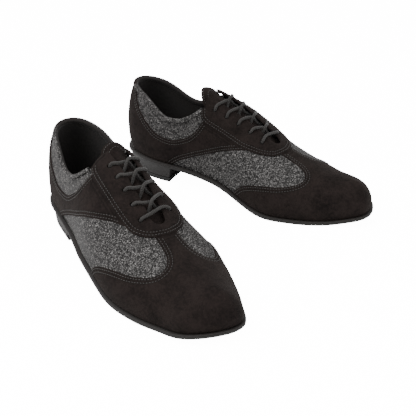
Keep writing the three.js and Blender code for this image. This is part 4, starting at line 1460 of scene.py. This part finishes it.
class SHOE_OT_tongue(ShoeOperator, bpy.types.Operator):
    """Builds the padded tongue and its stitching"""

    bl_idname = "shoe.tongue"
    bl_label = "Tongue"

    def build(self, shoe, settings):
        build_tongue(shoe, settings.stitch_pitch, settings.thread_radius)


class SHOE_OT_stitching(ShoeOperator, bpy.types.Operator):
    """Sews two rows along every seam of the upper"""

    bl_idname = "shoe.stitching"
    bl_label = "Stitching"

    def build(self, shoe, settings):
        points, faces = stitches(thread_rows(), settings.stitch_pitch, settings.thread_radius)
        add_piece(shoe, "upper_stitching", points, faces, looks("thread"))


class SHOE_OT_lace(ShoeOperator, bpy.types.Operator):
    """Builds the round lace"""

    bl_idname = "shoe.lace"
    bl_label = "Lace"

    def build(self, shoe, settings):
        build_lace(shoe)


class SHOE_OT_bottom(ShoeOperator, bpy.types.Operator):
    """Builds the outsole, the heel and its wear piece"""

    bl_idname = "shoe.bottom"
    bl_label = "Sole and Heel"

    def build(self, shoe, settings):
        build_sole(shoe)
        build_heel(shoe)


class SHOE_OT_inner_parts(ShoeOperator, bpy.types.Operator):
    """Gives the CAD parts that stay their materials"""

    bl_idname = "shoe.inner_parts"
    bl_label = "Inner Parts"

    def build(self, shoe, settings):
        for name, look in CAD_LOOKS.items():
            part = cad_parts[f"{shoe.name}_{name}"]
            part.data.materials.clear()
            part.data.materials.append(looks(look))


class SHOE_OT_stage(bpy.types.Operator):
    """Makes the floor, the lights, the even sky and the camera"""

    bl_idname = "shoe.stage"
    bl_label = "Stage"
    bl_options = {"REGISTER", "UNDO"}

    def execute(self, context):
        stage = context.scene.stage_looks
        add_floor()
        add_light("Key", stage.key, 1.1, (-0.35, -0.75, 1.25))
        add_light("Fill", stage.fill, 1.4, (1.15, 0.35, 0.8))
        world = bpy.data.worlds.new("Sky")
        world.use_nodes = True
        world.node_tree.nodes["Background"].inputs["Color"].default_value = (1, 1, 1, 1)
        world.node_tree.nodes["Background"].inputs["Strength"].default_value = stage.sky
        context.scene.world = world
        lens = bpy.data.cameras.new("Camera")
        lens.lens = stage.lens
        lens.sensor_width = 36
        camera = bpy.data.objects.new("Camera", lens)
        camera.location = stage.camera
        camera.rotation_euler = (math.pi / 2 - stage.pitch, 0, stage.heading)
        context.scene.collection.objects.link(camera)
        context.scene.camera = camera
        return {"FINISHED"}


FLOOR_GLOW = 14.0          # how bright the floor looks to the camera


def add_floor(half=4.0):
    mesh = bpy.data.meshes.new("Floor")
    corners = [(-half, -half, 0), (half, -half, 0), (half, half, 0), (-half, half, 0)]
    mesh.from_pydata(corners, [], [(0, 1, 2, 3)])
    made = bpy.data.materials.new("Floor")
    made.use_nodes = True
    paint = made.node_tree.nodes["Principled BSDF"]
    paint.inputs["Base Color"].default_value = (0.93, 0.93, 0.93, 1)
    paint.inputs["Roughness"].default_value = 0.9
    paint.inputs["Emission Color"].default_value = (1, 1, 1, 1)
    seen = made.node_tree.nodes.new("ShaderNodeLightPath").outputs["Is Camera Ray"]
    glow = made.node_tree.nodes.new("ShaderNodeMath")
    glow.operation = "MULTIPLY"
    glow.inputs[1].default_value = FLOOR_GLOW
    made.node_tree.links.new(seen, glow.inputs[0])
    made.node_tree.links.new(glow.outputs[0], paint.inputs["Emission Strength"])
    mesh.materials.append(made)
    floor = bpy.data.objects.new("Floor", mesh)
    bpy.context.scene.collection.objects.link(floor)


def add_light(name, power, size, place):
    data = bpy.data.lights.new(name, "AREA")
    data.energy = power
    data.shape = "DISK"
    data.size = size
    light = bpy.data.objects.new(name, data)
    light.location = place
    light.rotation_euler = Vector(place).to_track_quat("Z", "Y").to_euler()
    bpy.context.scene.collection.objects.link(light)


OPERATORS = (
    SHOE_OT_suede, SHOE_OT_glitter, SHOE_OT_lining, SHOE_OT_binding, SHOE_OT_tongue, SHOE_OT_stitching,
    SHOE_OT_lace, SHOE_OT_bottom, SHOE_OT_inner_parts, SHOE_OT_stage,
)


class SHOE_PT_panel(bpy.types.Panel):
    """The shoes' controls in the sidebar"""

    bl_idname = "SHOE_PT_panel"
    bl_label = "Dance Shoes"
    bl_space_type = "VIEW_3D"
    bl_region_type = "UI"
    bl_category = "Shoes"

    def draw(self, context):
        for group in (context.scene.shoe_looks, context.scene.stage_looks):
            for name in group.__annotations__:
                self.layout.prop(group, name)
        for operator in OPERATORS:
            self.layout.operator(operator.bl_idname)


CLASSES = (ShoeLooks, StageLooks, *OPERATORS, SHOE_PT_panel)


def register():
    for each in CLASSES:
        bpy.utils.register_class(each)
    bpy.types.Scene.shoe_looks = bpy.props.PointerProperty(type=ShoeLooks)
    bpy.types.Scene.stage_looks = bpy.props.PointerProperty(type=StageLooks)


def unregister():
    del bpy.types.Scene.stage_looks
    del bpy.types.Scene.shoe_looks
    for each in reversed(CLASSES):
        bpy.utils.unregister_class(each)


def main():
    register()
    for operator in OPERATORS:
        call = getattr(bpy.ops.shoe, operator.bl_idname.split(".")[1])
        if call() != {"FINISHED"}:
            raise RuntimeError(f"{operator.bl_label} did not finish")


if __name__ == "__main__":
    main()
